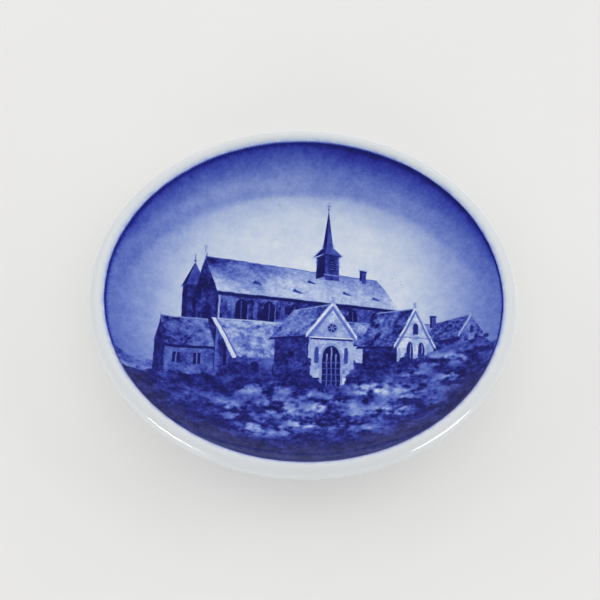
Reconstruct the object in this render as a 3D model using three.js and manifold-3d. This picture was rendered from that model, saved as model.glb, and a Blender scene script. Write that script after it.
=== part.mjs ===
// Souvenir plate: a round porcelain wall plate, 80 mm across, on a pierced foot ring.
// Millimetres, +Z up. The origin is the centre of the foot ring's base; +Y is the top of the picture.
//
// A plate like this is one fired body that carries thin layers on both faces, so the parts are the
// layers: the unglazed porcelain blank, the printed picture and the line banded round it, the clear
// glaze over the front, lip and back wall, the clear glaze inside the foot ring, and the mark under it.
// Neighbouring layers share their faces exactly, point for point.

import * as THREE from "three";
import { mergeVertices } from "three/addons/utils/BufferGeometryUtils.js";
import Module from "manifold-3d";

// ---- driving dimensions ----
const SEGMENTS = 60; // round the plate
const FLOOR_Z = 5.5; // top of the glaze on the flat of the well
const FLOOR_R = 23.35; // radius of the flat of the well
const FILLET_R = 12.3; // turns the floor up into the wall
const FILLET_END = 14; // degrees of slope where the fillet ends
const WALL_END = 33; // degrees of slope where the wall meets the lip
const LIP_CENTRE_R = 38.25; // centre of the lip's round section
const LIP_R = 1.75; // radius of that section: the lip is 3.5 mm thick and ends at 40 mm
const GLAZE = 0.25; // thickness of the glaze on bare porcelain
const PRINT = 0.06; // thickness of the fired colour under the glaze
const BORDER = 0.5; // width of the banded line round the picture
const RECESS_Z = 2.6; // ceiling of the recess inside the foot ring, over its glaze
const FOOT_OUT = 25.45; // flat of the foot ring, outer and inner radius
const FOOT_IN = 23.75;
const FOOT_BARE = 0.45; // height of the unglazed edge of the foot ring
const MARK_IN = 3.0; // plain ring mark on the back
const MARK_OUT = 4.2;
const HOLE_R = 0.7; // hanging holes through the foot ring
const HOLE_Z = 1.35;
const HOLE_X = 8.0; // half the distance between them

// ---- section of the plate ----
const rad = (d) => (d * Math.PI) / 180;
const filletTop = [FLOOR_R + FILLET_R * Math.sin(rad(FILLET_END)), FLOOR_Z + FILLET_R * (1 - Math.cos(rad(FILLET_END)))];
const lipStart = LIP_CENTRE_R - LIP_R * Math.sin(rad(WALL_END));
// The wall is an arc tangent to the fillet and to the lip, so its radius follows from the two slopes.
const WALL_R = (lipStart - filletTop[0]) / (Math.sin(rad(WALL_END)) - Math.sin(rad(FILLET_END)));
const wallCentre = [filletTop[0] - WALL_R * Math.sin(rad(FILLET_END)), filletTop[1] + WALL_R * Math.cos(rad(FILLET_END))];
const lipZ = wallCentre[1] - WALL_R * Math.cos(rad(WALL_END)) - LIP_R * Math.cos(rad(WALL_END));

// Points on a surface "depth" below the glazed one.
const fillet = (a, depth) => [FLOOR_R + (FILLET_R + depth) * Math.sin(rad(a)), FLOOR_Z + FILLET_R - (FILLET_R + depth) * Math.cos(rad(a))];
const wall = (a, depth) => [wallCentre[0] + (WALL_R + depth) * Math.sin(rad(a)), wallCentre[1] - (WALL_R + depth) * Math.cos(rad(a))];
const lip = (phi, depth) => [LIP_CENTRE_R + (LIP_R - depth) * Math.cos(rad(phi)), lipZ + (LIP_R - depth) * Math.sin(rad(phi))];

const borderStart = WALL_END - (BORDER / (WALL_R + GLAZE)) * (180 / Math.PI);
const front = (depth) => [[0, FLOOR_Z - depth], [FLOOR_R, FLOOR_Z - depth], fillet(7, depth), fillet(FILLET_END, depth), wall(20, depth), wall(26, depth), wall(borderStart, depth)];
const borderLine = (depth) => [wall(borderStart, depth), wall(WALL_END, depth)];
// The lip from the end of the wall, over its top and round to the back.
const lipCurve = (depth) => [90, 60, 30, 0, -28].map((p) => lip(p, depth));
// The back runs parallel to the front at the lip's thickness.
const back = (depth) => [WALL_END, 26, 20, FILLET_END].map((a) => wall(a, 2 * LIP_R - depth));

// Foot ring: bare porcelain and, over it, glaze that thins out above the bare edge.
const footOutside = [[26.15, 2.05], [25.75, FOOT_BARE]];
const footBase = [[FOOT_OUT, 0], [FOOT_IN, 0]];
const footInside = [[23.45, FOOT_BARE], [23.15, 2.35], [22.6, RECESS_Z + GLAZE]];
const footOutsideGlaze = [[26.42, 1.95], [25.98, FOOT_BARE + 0.07]];
const footInsideGlaze = [[23.22, FOOT_BARE + 0.07], [22.92, 2.22], [22.5, RECESS_Z]];

// ---- solids ----
const wasm = await Module();
wasm.setup();

// A solid of revolution about +Z. The profile runs from the top of the axis outwards and down, and back under.
function turned(profile, closes = false) {
  const points = profile.map(([r, z]) => new THREE.Vector2(r, z)).reverse();
  if (closes) points.push(points[0].clone());
  const geometry = new THREE.LatheGeometry(points, SEGMENTS);
  geometry.rotateX(Math.PI / 2);
  return geometry;
}

function toSolid(geometry) {
  const bare = geometry.clone();
  bare.deleteAttribute("normal");
  bare.deleteAttribute("uv");
  const merged = mergeVertices(bare, 1e-4);
  return new wasm.Manifold(new wasm.Mesh({ numProp: 3, vertProperties: merged.attributes.position.array, triVerts: new Uint32Array(merged.index.array) }));
}

function toGeometry(solid) {
  const m = solid.getMesh();
  const v = new Float32Array(m.numVert * 3);
  for (let i = 0; i < m.numVert; i++) for (let k = 0; k < 3; k++) v[3 * i + k] = m.vertProperties[i * m.numProp + k];
  const g = new THREE.BufferGeometry();
  g.setAttribute("position", new THREE.BufferAttribute(v, 3));
  g.setIndex(new THREE.BufferAttribute(new Uint32Array(m.triVerts), 1));
  g.computeVertexNormals();
  return g;
}

// A hanging hole: a drill laid along the radius, through the foot ring's wall.
function drill(x) {
  const y = Math.sqrt(24.6 * 24.6 - x * x);
  const g = new THREE.CylinderGeometry(HOLE_R, HOLE_R, 8, 16);
  g.rotateZ(-Math.atan2(x, y));
  g.translate(x, y, HOLE_Z);
  return toSolid(g);
}
const drills = [drill(-HOLE_X), drill(HOLE_X)];
const pierced = (geometry) => toGeometry(drills.reduce((s, d) => s.subtract(d), toSolid(geometry)));

// ---- materials ----
const porcelain = new THREE.MeshStandardMaterial({ name: "porcelain", color: new THREE.Color(0.86, 0.85, 0.82), roughness: 0.7, metalness: 0 });
const cobalt = new THREE.MeshStandardMaterial({ name: "cobalt_print", color: new THREE.Color(0.2, 0.27, 0.6), roughness: 0.5, metalness: 0 });
const darkCobalt = new THREE.MeshStandardMaterial({ name: "cobalt_line", color: new THREE.Color(0.08, 0.08, 0.38), roughness: 0.5, metalness: 0 });
const glaze = new THREE.MeshStandardMaterial({ name: "clear_glaze", color: new THREE.Color(0.9, 0.92, 0.94), roughness: 0.06, metalness: 0, transparent: true, opacity: 0.35 });

// ---- assembly ----
const plate = new THREE.Group();
plate.name = "souvenir_plate";

function add(name, geometry, material) {
  const mesh = new THREE.Mesh(geometry, material);
  mesh.name = name;
  plate.add(mesh);
}

// The unglazed blank: well, wall, lip, back and foot ring in one piece, as it is pressed.
add(
  "porcelain_body",
  pierced(turned([...front(GLAZE), wall(WALL_END, GLAZE), ...lipCurve(GLAZE), ...back(GLAZE), ...footOutside, ...footBase, ...footInside, [0, RECESS_Z + GLAZE]])),
  porcelain,
);

// The picture, fired on the blank, and the dark line banded round it.
add("picture_transfer", turned([...front(GLAZE - PRINT), ...front(GLAZE).reverse()]), cobalt);
add("border_line", turned([...borderLine(GLAZE - PRINT), ...borderLine(GLAZE).reverse()], true), darkCobalt);

// Clear glaze over the picture, the lip and the back as far as the foot ring.
add(
  "front_glaze",
  pierced(
    turned([
      ...front(0), wall(WALL_END, 0), ...lipCurve(0), ...back(0), ...footOutsideGlaze,
      ...[...front(GLAZE - PRINT), wall(WALL_END, GLAZE - PRINT), wall(WALL_END, GLAZE), ...lipCurve(GLAZE), ...back(GLAZE), ...footOutside].reverse(),
    ]),
  ),
  glaze,
);

// Inside the foot ring: the mark, and the glaze that covers it.
const ceiling = RECESS_Z + GLAZE;
add("back_mark", turned([[MARK_IN, ceiling], [MARK_OUT, ceiling], [MARK_OUT, ceiling - PRINT], [MARK_IN, ceiling - PRINT]], true), darkCobalt);
add(
  "base_glaze",
  pierced(
    turned([
      [0, ceiling], [MARK_IN, ceiling], [MARK_IN, ceiling - PRINT], [MARK_OUT, ceiling - PRINT], [MARK_OUT, ceiling],
      ...[...footInside].reverse(), ...footInsideGlaze, [0, RECESS_Z],
    ]),
  ),
  glaze,
);

export default plate;
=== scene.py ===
import math

import bmesh
import bpy
import numpy as np
from mathutils import Matrix, Vector
from mathutils.geometry import delaunay_2d_cdt


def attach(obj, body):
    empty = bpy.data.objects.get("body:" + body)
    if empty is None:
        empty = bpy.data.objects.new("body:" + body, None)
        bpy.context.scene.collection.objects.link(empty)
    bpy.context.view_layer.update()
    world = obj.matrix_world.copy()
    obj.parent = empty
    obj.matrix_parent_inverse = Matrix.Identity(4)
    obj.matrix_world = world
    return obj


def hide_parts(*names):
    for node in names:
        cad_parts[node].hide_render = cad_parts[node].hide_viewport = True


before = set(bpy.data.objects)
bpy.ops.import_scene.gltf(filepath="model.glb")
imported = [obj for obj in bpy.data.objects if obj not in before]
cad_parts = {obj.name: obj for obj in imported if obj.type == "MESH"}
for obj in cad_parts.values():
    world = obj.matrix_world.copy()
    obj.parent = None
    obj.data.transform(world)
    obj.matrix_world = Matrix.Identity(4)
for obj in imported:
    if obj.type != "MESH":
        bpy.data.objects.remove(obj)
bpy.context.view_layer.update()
scene = bpy.context.scene

MM = 0.001

# ------------------------------------------------------------------ section of the plate, in millimetres
FLOOR_Z, FLOOR_R = 5.5, 23.35
FILLET_R, FILLET_END, WALL_END = 12.3, 14.0, 33.0
LIP_CENTRE_R, LIP_R = 38.25, 1.75
GLAZE = 0.25
RECESS_Z = 2.6
SEGMENTS = 360


def rad(d):
    return d * math.pi / 180


FILLET_TOP = (FLOOR_R + FILLET_R * math.sin(rad(FILLET_END)), FLOOR_Z + FILLET_R * (1 - math.cos(rad(FILLET_END))))
WALL_R = (LIP_CENTRE_R - LIP_R * math.sin(rad(WALL_END)) - FILLET_TOP[0]) / (math.sin(rad(WALL_END)) - math.sin(rad(FILLET_END)))
WALL_C = (FILLET_TOP[0] - WALL_R * math.sin(rad(FILLET_END)), FILLET_TOP[1] + WALL_R * math.cos(rad(FILLET_END)))
LIP_Z = WALL_C[1] - (WALL_R + LIP_R) * math.cos(rad(WALL_END))


def fillet(a, depth=0.0):
    """Point on the fillet at slope a degrees, and the way its front faces."""
    s, c = math.sin(rad(a)), math.cos(rad(a))
    return (FLOOR_R + (FILLET_R + depth) * s, FLOOR_Z + FILLET_R - (FILLET_R + depth) * c), (-s, c)


def wall(a, depth=0.0):
    s, c = math.sin(rad(a)), math.cos(rad(a))
    return (WALL_C[0] + (WALL_R + depth) * s, WALL_C[1] - (WALL_R + depth) * c), (-s, c)


def lip(p, depth=0.0):
    s, c = math.sin(rad(p)), math.cos(rad(p))
    return (LIP_CENTRE_R + (LIP_R - depth) * c, LIP_Z + (LIP_R - depth) * s), (c, s)


def well(r, depth=0.0):
    """Height of the well's surface and its slope (as a sine) at radius r, both arrays."""
    r = np.asarray(r, float)
    z = np.full(r.shape, FLOOR_Z - depth)
    s = np.zeros(r.shape)
    top = FLOOR_R + (FILLET_R + depth) * math.sin(rad(FILLET_END))
    m = (r > FLOOR_R) & (r <= top)
    s = np.where(m, (r - FLOOR_R) / (FILLET_R + depth), s)
    z = np.where(m, FLOOR_Z + FILLET_R - (FILLET_R + depth) * np.sqrt(np.clip(1 - s * s, 0, 1)), z)
    m = r > top
    s = np.where(m, (r - WALL_C[0]) / (WALL_R + depth), s)
    z = np.where(m, WALL_C[1] - (WALL_R + depth) * np.sqrt(np.clip(1 - s * s, 0, 1)), z)
    return z, s


def span(a, b, n):
    return [a + (b - a) * i / n for i in range(n + 1)]


def straight(a, b, n=1):
    """Points along a straight stretch of the section, facing left of the way it runs."""
    d = math.hypot(b[0] - a[0], b[1] - a[1])
    normal = (-(b[1] - a[1]) / d, (b[0] - a[0]) / d)
    return [((a[0] + (b[0] - a[0]) * t, a[1] + (b[1] - a[1]) * t), normal) for t in span(0, 1, n)]


def rounded(a, corner, b, n=5):
    """A quadratic bend from a to b by way of a corner, facing left of the way it runs."""
    out = []
    for t in span(0, 1, n):
        x = (1 - t) ** 2 * a[0] + 2 * t * (1 - t) * corner[0] + t * t * b[0]
        z = (1 - t) ** 2 * a[1] + 2 * t * (1 - t) * corner[1] + t * t * b[1]
        dx = 2 * (1 - t) * (corner[0] - a[0]) + 2 * t * (b[0] - corner[0])
        dz = 2 * (1 - t) * (corner[1] - a[1]) + 2 * t * (b[1] - corner[1])
        d = math.hypot(dx, dz)
        out.append(((x, z), (-dz / d, dx / d)))
    return out


def inner(points):
    """The same stretch walked backwards, facing the other way: the hidden face of a layer."""
    return [(p, (-n[0], -n[1])) for p, n in reversed(points)]


# ------------------------------------------------------------------ mesh helpers
def collection_link(obj):
    scene.collection.objects.link(obj)
    return obj


def turned(name, stretches, segments=SEGMENTS):
    """A closed solid of revolution about +Z. Each stretch is a list of (point, normal) that shades smoothly;
    stretches join end to end with a crisp corner where their normals differ."""
    ring, faces_between = [], []
    for stretch in stretches:
        for i, (p, n) in enumerate(stretch):
            if not ring or math.dist(ring[-1], p) > 1e-6:
                ring.append(tuple(p))
                if len(ring) > 1 and i == 0:
                    faces_between.append(None)
            if i > 0:
                faces_between.append((stretch[i - 1][1], n))
    closed = math.dist(ring[0], ring[-1]) < 1e-6
    if closed:
        ring.pop()
    count = len(ring)
    verts, start = [], []
    for r, z in ring:
        start.append(len(verts))
        if r < 1e-6:
            verts.append((0.0, 0.0, z * MM))
        else:
            for k in range(segments):
                a = 2 * math.pi * k / segments
                verts.append((r * math.sin(a) * MM, r * math.cos(a) * MM, z * MM))
    faces, normals = [], []
    for i, pair in enumerate(faces_between):
        j = (i + 1) % count
        (r0, z0), (r1, z1) = ring[i], ring[j]
        if r0 < 1e-6 and r1 < 1e-6:
            continue
        n0, n1 = pair if pair else ((0, 1), (0, 1))
        for k in range(segments):
            m = (k + 1) % segments
            a, b = 2 * math.pi * k / segments, 2 * math.pi * (k + 1) / segments
            corner = lambda n, t: (n[0] * math.sin(t), n[0] * math.cos(t), n[1])
            if r0 < 1e-6:
                faces.append((start[i], start[j] + m, start[j] + k))
                normals += [corner(n0, (a + b) / 2), corner(n1, b), corner(n1, a)]
            elif r1 < 1e-6:
                faces.append((start[i] + k, start[i] + m, start[j]))
                normals += [corner(n0, a), corner(n0, b), corner(n1, (a + b) / 2)]
            else:
                faces.append((start[i] + k, start[i] + m, start[j] + m, start[j] + k))
                normals += [corner(n0, a), corner(n0, b), corner(n1, b), corner(n1, a)]
    mesh = bpy.data.meshes.new(name)
    mesh.from_pydata(verts, [], faces)
    mesh.polygons.foreach_set("use_smooth", [True] * len(mesh.polygons))
    mesh.update()
    mesh.normals_split_custom_set(normals)
    return collection_link(bpy.data.objects.new(name, mesh))


def pierce(obj, drills, sharp=32):
    """Cuts the hanging holes. The result is smooth, with crisp edges where faces turn by more than `sharp` degrees."""
    for d in drills:
        mod = obj.modifiers.new("hole", "BOOLEAN")
        mod.operation, mod.object, mod.solver = "DIFFERENCE", d, "EXACT"
    dg = bpy.context.evaluated_depsgraph_get()
    mesh = bpy.data.meshes.new_from_object(obj.evaluated_get(dg))
    old = obj.data
    obj.modifiers.clear()
    obj.data = mesh
    mesh.name = obj.name
    bpy.data.meshes.remove(old)
    bm = bmesh.new()
    bm.from_mesh(mesh)
    for layer in [l for l in bm.loops.layers.float_vector.values()]:
        bm.loops.layers.float_vector.remove(layer)
    for e in bm.edges:
        e.smooth = len(e.link_faces) == 2 and e.calc_face_angle(0.0) < rad(sharp)
    for f in bm.faces:
        f.smooth = True
    bm.to_mesh(mesh)
    bm.free()
    if "custom_normal" in mesh.attributes:
        mesh.attributes.remove(mesh.attributes["custom_normal"])
    mesh.update()


# ------------------------------------------------------------------ shader helpers
class Nodes:
    """Builds one material's node tree with short calls."""

    def __init__(self, name):
        self.material = bpy.data.materials.new(name)
        self.material.use_nodes = True
        self.tree = self.material.node_tree
        self.shader = self.tree.nodes["Principled BSDF"]

    def add(self, kind, **values):
        node = self.tree.nodes.new(kind)
        for key, value in values.items():
            setattr(node, key, value)
        return node

    def link(self, a, b):
        self.tree.links.new(a, b)

    def put(self, socket, value):
        if isinstance(value, (int, float)):
            socket.default_value = value
        elif isinstance(value, (tuple, list)):
            socket.default_value = value
        else:
            self.link(value, socket)

    def math(self, op, a, b=None, c=None, clamp=False):
        node = self.add("ShaderNodeMath", operation=op, use_clamp=clamp)
        for i, v in enumerate((a, b, c)):
            if v is not None:
                self.put(node.inputs[i], v)
        return node.outputs[0]

    def noise(self, vector, scale, detail=3.0, roughness=0.55, distortion=0.0):
        node = self.add("ShaderNodeTexNoise")
        self.put(node.inputs["Vector"], vector)
        node.inputs["Scale"].default_value = scale
        node.inputs["Detail"].default_value = detail
        node.inputs["Roughness"].default_value = roughness
        node.inputs["Distortion"].default_value = distortion
        return node.outputs["Fac"]

    def remap(self, value, a, b, c=0.0, d=1.0, smooth=False):
        node = self.add("ShaderNodeMapRange", clamp=True)
        if smooth:
            node.interpolation_type = "SMOOTHSTEP"
        self.put(node.inputs[0], value)
        for i, v in enumerate((a, b, c, d)):
            self.put(node.inputs[i + 1], v)
        return node.outputs[0]

    def mix(self, fac, a, b):
        node = self.add("ShaderNodeMix", data_type="RGBA")
        self.put(node.inputs[0], fac)
        self.put(node.inputs[6], a)
        self.put(node.inputs[7], b)
        return node.outputs[2]

    def attribute(self, name):
        return self.add("ShaderNodeAttribute", attribute_type="GEOMETRY", attribute_name=name)

    def place(self):
        """Object coordinates. The pieces sit at the origin, so these are metres on the plate."""
        return self.add("ShaderNodeTexCoord").outputs["Object"]

    def bump(self, height, distance, strength=1.0):
        node = self.add("ShaderNodeBump")
        node.inputs["Strength"].default_value = strength
        node.inputs["Distance"].default_value = distance
        self.put(node.inputs["Height"], height)
        return node.outputs["Normal"]


def linear(rgb):
    return tuple(((c / 255) / 12.92 if c / 255 <= 0.04045 else ((c / 255 + 0.055) / 1.055) ** 2.4) for c in rgb)


# ------------------------------------------------------------------ tones
# How much of the light falling on the flat of the plate comes back from a perfect white.
LIGHT = 0.895
# What the clear glaze adds on top of any ink by mirroring the room.
SHEEN = 0.007
# Ink from none to most, and the colour it gives on white under clear glaze.
INK = [
    (0.000, (216, 222, 227)),
    (0.065, (202, 211, 227)),
    (0.140, (187, 199, 224)),
    (0.215, (172, 187, 221)),
    (0.290, (157, 173, 214)),
    (0.365, (142, 159, 210)),
    (0.445, (126, 144, 204)),
    (0.515, (112, 130, 198)),
    (0.585, (98, 116, 191)),
    (0.665, (82, 99, 182)),
    (0.740, (66, 81, 171)),
    (0.820, (50, 60, 152)),
    (0.885, (37, 42, 129)),
    (0.940, (27, 30, 105)),
    (1.000, (19, 20, 79)),
]
# Washed grounds, such as the sky: clearer in the depths, a little softer in the lights.
WASH = [
    (0.000, (217, 222, 227)),
    (0.065, (203, 211, 225)),
    (0.140, (188, 200, 222)),
    (0.215, (173, 187, 219)),
    (0.290, (157, 173, 214)),
    (0.365, (142, 158, 209)),
    (0.445, (126, 144, 203)),
    (0.515, (112, 130, 198)),
    (0.585, (98, 117, 191)),
    (0.665, (82, 101, 183)),
    (0.740, (66, 83, 175)),
    (0.820, (50, 63, 162)),
    (0.885, (37, 45, 148)),
    (0.940, (26, 31, 124)),
    (1.000, (13, 14, 88)),
]
# Where the leaves run out into the lower edge: greyer and more violet. These tones are a painted reflection: the veil
# of the room mirrored by the near side of the well.
PAINTED_VEIL = [
    (0.000, (216, 220, 225)),
    (0.200, (177, 183, 211)),
    (0.400, (136, 145, 194)),
    (0.600, (92, 102, 172)),
    (0.740, (68, 75, 146)),
    (0.820, (57, 59, 121)),
    (0.885, (51, 52, 108)),
    (0.940, (45, 46, 98)),
    (1.000, (34, 34, 80)),
]
WHITE = (216, 220, 224)


def albedo(rgb):
    return tuple(min(0.9, max(0.0008, (c - SHEEN) / LIGHT)) for c in linear(rgb)) + (1.0,)


def tones(nodes, amount, stops):
    ramp = nodes.add("ShaderNodeValToRGB")
    nodes.link(amount, ramp.inputs[0])
    el = ramp.color_ramp.elements
    el[0].position, el[0].color = stops[0][0], albedo(stops[0][1])
    el[1].position, el[1].color = stops[-1][0], albedo(stops[-1][1])
    for p, c in stops[1:-1]:
        e = el.new(p)
        e.color = albedo(c)
    return ramp.outputs[0]


def glossy(nodes, roughness=0.3):
    """Clear fired glaze over whatever is below: the coat carries the gloss."""
    s = nodes.shader
    s.inputs["Roughness"].default_value = roughness
    s.inputs["Specular IOR Level"].default_value = 0.15
    s.inputs["IOR"].default_value = 1.5
    s.inputs["Coat Weight"].default_value = 1.0
    s.inputs["Coat Roughness"].default_value = 0.02
    s.inputs["Coat IOR"].default_value = 1.5
    return s


def glaze_waves(nodes, place):
    """The slow unevenness of a glazed surface."""
    slow = nodes.noise(place, 90.0, 1.0, 0.4)
    fine = nodes.noise(place, 700.0, 1.0, 0.4)
    return nodes.bump(nodes.math("ADD", slow, nodes.math("MULTIPLY", fine, 0.12)), 0.00006, 1.0)


def porcelain_material(name, tint=WHITE):
    """White glazed porcelain. Where the attribute "ink" says so, the banded line and its bleed show through."""
    n = Nodes(name)
    s = glossy(n, 0.35)
    place = n.place()
    cloud = n.noise(place, 60.0, 3.0)
    base = albedo(tint)
    warm = tuple(c * k for c, k in zip(base[:3], (1.0, 0.99, 0.965))) + (1.0,)
    colour = n.mix(n.remap(cloud, 0.35, 0.7), base, warm)
    # A few iron specks, as fired porcelain has.
    cells = n.add("ShaderNodeTexVoronoi", feature="F1")
    n.put(cells.inputs["Vector"], place)
    cells.inputs["Scale"].default_value = 230.0
    pick = n.add("ShaderNodeSeparateColor")
    n.link(cells.outputs["Color"], pick.inputs[0])
    speck = n.math("MULTIPLY", n.remap(cells.outputs["Distance"], 0.02, 0.05, 1.0, 0.0), n.remap(pick.outputs[0], 0.975, 0.98))
    colour = n.mix(n.math("MULTIPLY", speck, 0.5), colour, (0.25, 0.22, 0.2, 1.0))
    ink = n.attribute("ink").outputs["Fac"]
    grain = n.math("MULTIPLY", n.math("SUBTRACT", n.noise(place, 3800.0, 3.0, 0.65), 0.5), 0.30)
    edge = n.remap(n.math("ABSOLUTE", n.math("SUBTRACT", ink, 0.45)), 0.15, 0.45, 1.0, 0.0)
    ink = n.math("ADD", ink, n.math("MULTIPLY", grain, edge), clamp=True)
    # Low on the plate the line takes the greyer, more violet tones of a painted reflection of the room. Higher up it
    # takes the washed tones.
    side = n.add("ShaderNodeSeparateXYZ")
    n.link(n.attribute("flow").outputs["Vector"], side.inputs[0])
    line = n.mix(side.outputs[2], tones(n, ink, PAINTED_VEIL), tones(n, ink, WASH))
    n.link(n.mix(n.remap(ink, 0.0, 0.1), colour, line), s.inputs["Base Color"])
    waves = glaze_waves(n, place)
    n.link(waves, s.inputs["Normal"])
    n.link(waves, s.inputs["Coat Normal"])
    s.inputs["Subsurface Weight"].default_value = 0.12
    s.inputs["Subsurface Radius"].default_value = (1.0, 0.9, 0.8)
    s.inputs["Subsurface Scale"].default_value = 0.0008
    return n.material


def biscuit_material():
    """Bare fired porcelain, where the foot ring was wiped clean of glaze."""
    n = Nodes("bare_porcelain")
    s = n.shader
    place = n.place()
    grain = n.noise(place, 2600.0, 3.0, 0.6)
    stain = n.noise(place, 160.0, 4.0, 0.6)
    colour = n.mix(n.remap(stain, 0.35, 0.75), (0.72, 0.69, 0.63, 1.0), (0.56, 0.52, 0.46, 1.0))
    colour = n.mix(n.remap(grain, 0.62, 0.75, 0.0, 0.5), colour, (0.33, 0.3, 0.27, 1.0))
    n.link(colour, s.inputs["Base Color"])
    n.link(n.remap(grain, 0.3, 0.7, 0.6, 0.82), s.inputs["Roughness"])
    n.link(n.bump(grain, 0.00004, 0.8), s.inputs["Normal"])
    return n.material


def ink_material(name, sky_grain=True):
    """One-colour print: the mesh says how much ink lies where, and the nodes add what is finer than the mesh."""
    n = Nodes(name)
    s = glossy(n, 0.35)
    place = n.place()
    ink = n.attribute("ink").outputs["Fac"]
    kind = n.add("ShaderNodeSeparateXYZ")
    n.link(n.attribute("kind").outputs["Vector"], kind.inputs[0])
    tile, leaf, wallk = kind.outputs[0], kind.outputs[1], kind.outputs[2]
    flow = n.attribute("flow").outputs["Vector"]
    # Fine grain of the print, everywhere, strongest in the half tones.
    fine = n.noise(place, 5200.0, 2.0, 0.7)
    mid = n.noise(place, 1500.0, 3.0, 0.6)
    slow = n.noise(place, 700.0, 2.0, 0.6)
    grain = n.math("ADD", n.math("MULTIPLY", n.math("SUBTRACT", fine, 0.5), 0.19), n.math("MULTIPLY", n.math("SUBTRACT", mid, 0.5), 0.20))
    grain = n.math("ADD", grain, n.math("MULTIPLY", n.math("SUBTRACT", slow, 0.5), 0.12))
    half = n.remap(n.math("ABSOLUTE", n.math("SUBTRACT", ink, 0.55)), 0.1, 0.55, 1.0, 0.35)
    total = n.math("ADD", ink, n.math("MULTIPLY", grain, half))
    # Roof tiles: rows along the flow coordinate, each tile a little lighter or darker.
    rows = n.add("ShaderNodeTexBrick", offset=0.5, squash=1.0)
    n.link(flow, rows.inputs["Vector"])
    rows.inputs["Color1"].default_value = (0.34, 0.34, 0.34, 1)
    rows.inputs["Color2"].default_value = (0.74, 0.74, 0.74, 1)
    rows.inputs["Mortar"].default_value = (0.9, 0.9, 0.9, 1)
    rows.inputs["Scale"].default_value = 1.0
    rows.inputs["Mortar Size"].default_value = 0.05
    rows.inputs["Mortar Smooth"].default_value = 0.6
    rows.inputs["Brick Width"].default_value = 0.30
    rows.inputs["Row Height"].default_value = 0.27
    rowv = n.add("ShaderNodeSeparateColor")
    n.link(rows.outputs["Color"], rowv.inputs[0])
    tiles = n.math("MULTIPLY", n.math("SUBTRACT", rowv.outputs[0], 0.58), n.math("MULTIPLY", tile, 0.30))
    total = n.math("ADD", total, tiles)
    blots = n.noise(place, 1900.0, 2.0, 0.5)
    rough = n.math("ADD", n.math("MULTIPLY", tile, 0.85), n.math("MULTIPLY", wallk, 0.55))
    total = n.math("ADD", total, n.math("MULTIPLY", n.math("SUBTRACT", blots, 0.5), rough))
    # Leaves: small broken shapes.
    leaves = n.noise(place, 1900.0, 3.0, 0.6, 0.8)
    total = n.math("ADD", total, n.math("MULTIPLY", n.math("SUBTRACT", leaves, 0.5), n.math("MULTIPLY", leaf, 0.66)))
    # Walls: rough brickwork, drawn with short level strokes.
    stretch = n.add("ShaderNodeMapping")
    n.link(flow, stretch.inputs["Vector"])
    stretch.inputs["Scale"].default_value = (1.0, 2.4, 1.0)
    strokes = n.noise(stretch.outputs[0], 2.2, 3.0, 0.6)
    total = n.math("ADD", total, n.math("MULTIPLY", n.math("SUBTRACT", strokes, 0.5), n.math("MULTIPLY", wallk, 0.3)))
    total = n.math("ADD", total, 0.015, clamp=True)

    # Washed grounds fire to a brighter blue than drawn lines and foliage do.
    wash_and_painted_veil = n.add("ShaderNodeSeparateXYZ")
    n.link(flow, wash_and_painted_veil.inputs[0])
    colour = n.mix(n.remap(wash_and_painted_veil.outputs[2], 0.0, 1.0), tones(n, total, INK), tones(n, total, WASH))
    # Where the third flow value is below zero, at the lower edge, the colour turns greyer and more violet: a painted
    # reflection of the room in the near side of the well.
    n.link(n.mix(n.remap(wash_and_painted_veil.outputs[2], 0.0, -1.0), colour, tones(n, total, PAINTED_VEIL)), s.inputs["Base Color"])
    # The ink sinks in unevenly and the glaze over it is a touch softer where the colour is heavy.
    n.link(n.remap(total, 0.0, 1.0, 0.4, 0.3), s.inputs["Roughness"])
    waves = glaze_waves(n, place)
    n.link(waves, s.inputs["Normal"])
    n.link(waves, s.inputs["Coat Normal"])
    return n.material


# ------------------------------------------------------------------ noise for painting
def lattice(ix, iy, seed):
    h = (ix.astype(np.int64) * 374761393 + iy.astype(np.int64) * 668265263 + seed * 974634777) & 0xFFFFFFFF
    h = ((h ^ (h >> 13)) * 1274126177) & 0xFFFFFFFF
    h = ((h ^ (h >> 15)) * 2246822519) & 0xFFFFFFFF
    h = h ^ (h >> 16)
    return (h & 0xFFFFFF) / float(0xFFFFFF)


def noise(x, y, size, seed=0):
    u, v = np.asarray(x, float) / size, np.asarray(y, float) / size
    iu, iv = np.floor(u), np.floor(v)
    fu, fv = u - iu, v - iv
    fu, fv = fu * fu * (3 - 2 * fu), fv * fv * (3 - 2 * fv)
    a, b = lattice(iu, iv, seed), lattice(iu + 1, iv, seed)
    c, d = lattice(iu, iv + 1, seed), lattice(iu + 1, iv + 1, seed)
    return (a * (1 - fu) + b * fu) * (1 - fv) + (c * (1 - fu) + d * fu) * fv


def fbm(x, y, size, seed=0, octaves=4, gain=0.55):
    """Layered noise about 0, roughly -0.5 to 0.5."""
    total, amp, norm = 0.0, 1.0, 0.0
    for i in range(octaves):
        c, s = math.cos(0.7 * i + seed), math.sin(0.7 * i + seed)
        total = total + amp * (noise(c * x - s * y, s * x + c * y, size / 2**i, seed * 7 + i) - 0.5)
        norm += amp
        amp *= gain
    return total / norm * 1.6


def smooth(t, a=0.0, b=1.0):
    t = np.clip((np.asarray(t, float) - a) / (b - a), 0, 1)
    return t * t * (3 - 2 * t)


# ------------------------------------------------------------------ the picture
# A country church above a belt of trees. The church is a small model in metres (x east, q north, z up), seen
# in perspective and laid on the plate in millimetres, x to the right and y up. Outlines are painted over each
# other from back to front, and each has a function that says how much ink it takes.
R_PICTURE = WALL_C[0] + WALL_R * math.sin(rad(WALL_END) - 0.5 / (WALL_R + GLAZE))
layers = []


def paint(outline, shade, kind=(0, 0, 0), flow=None, wash_and_painted_veil=0.0):
    layers.append((outline, shade if callable(shade) else (lambda x, y, v=shade: np.full(x.shape, float(v))), kind, flow, wash_and_painted_veil))


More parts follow.
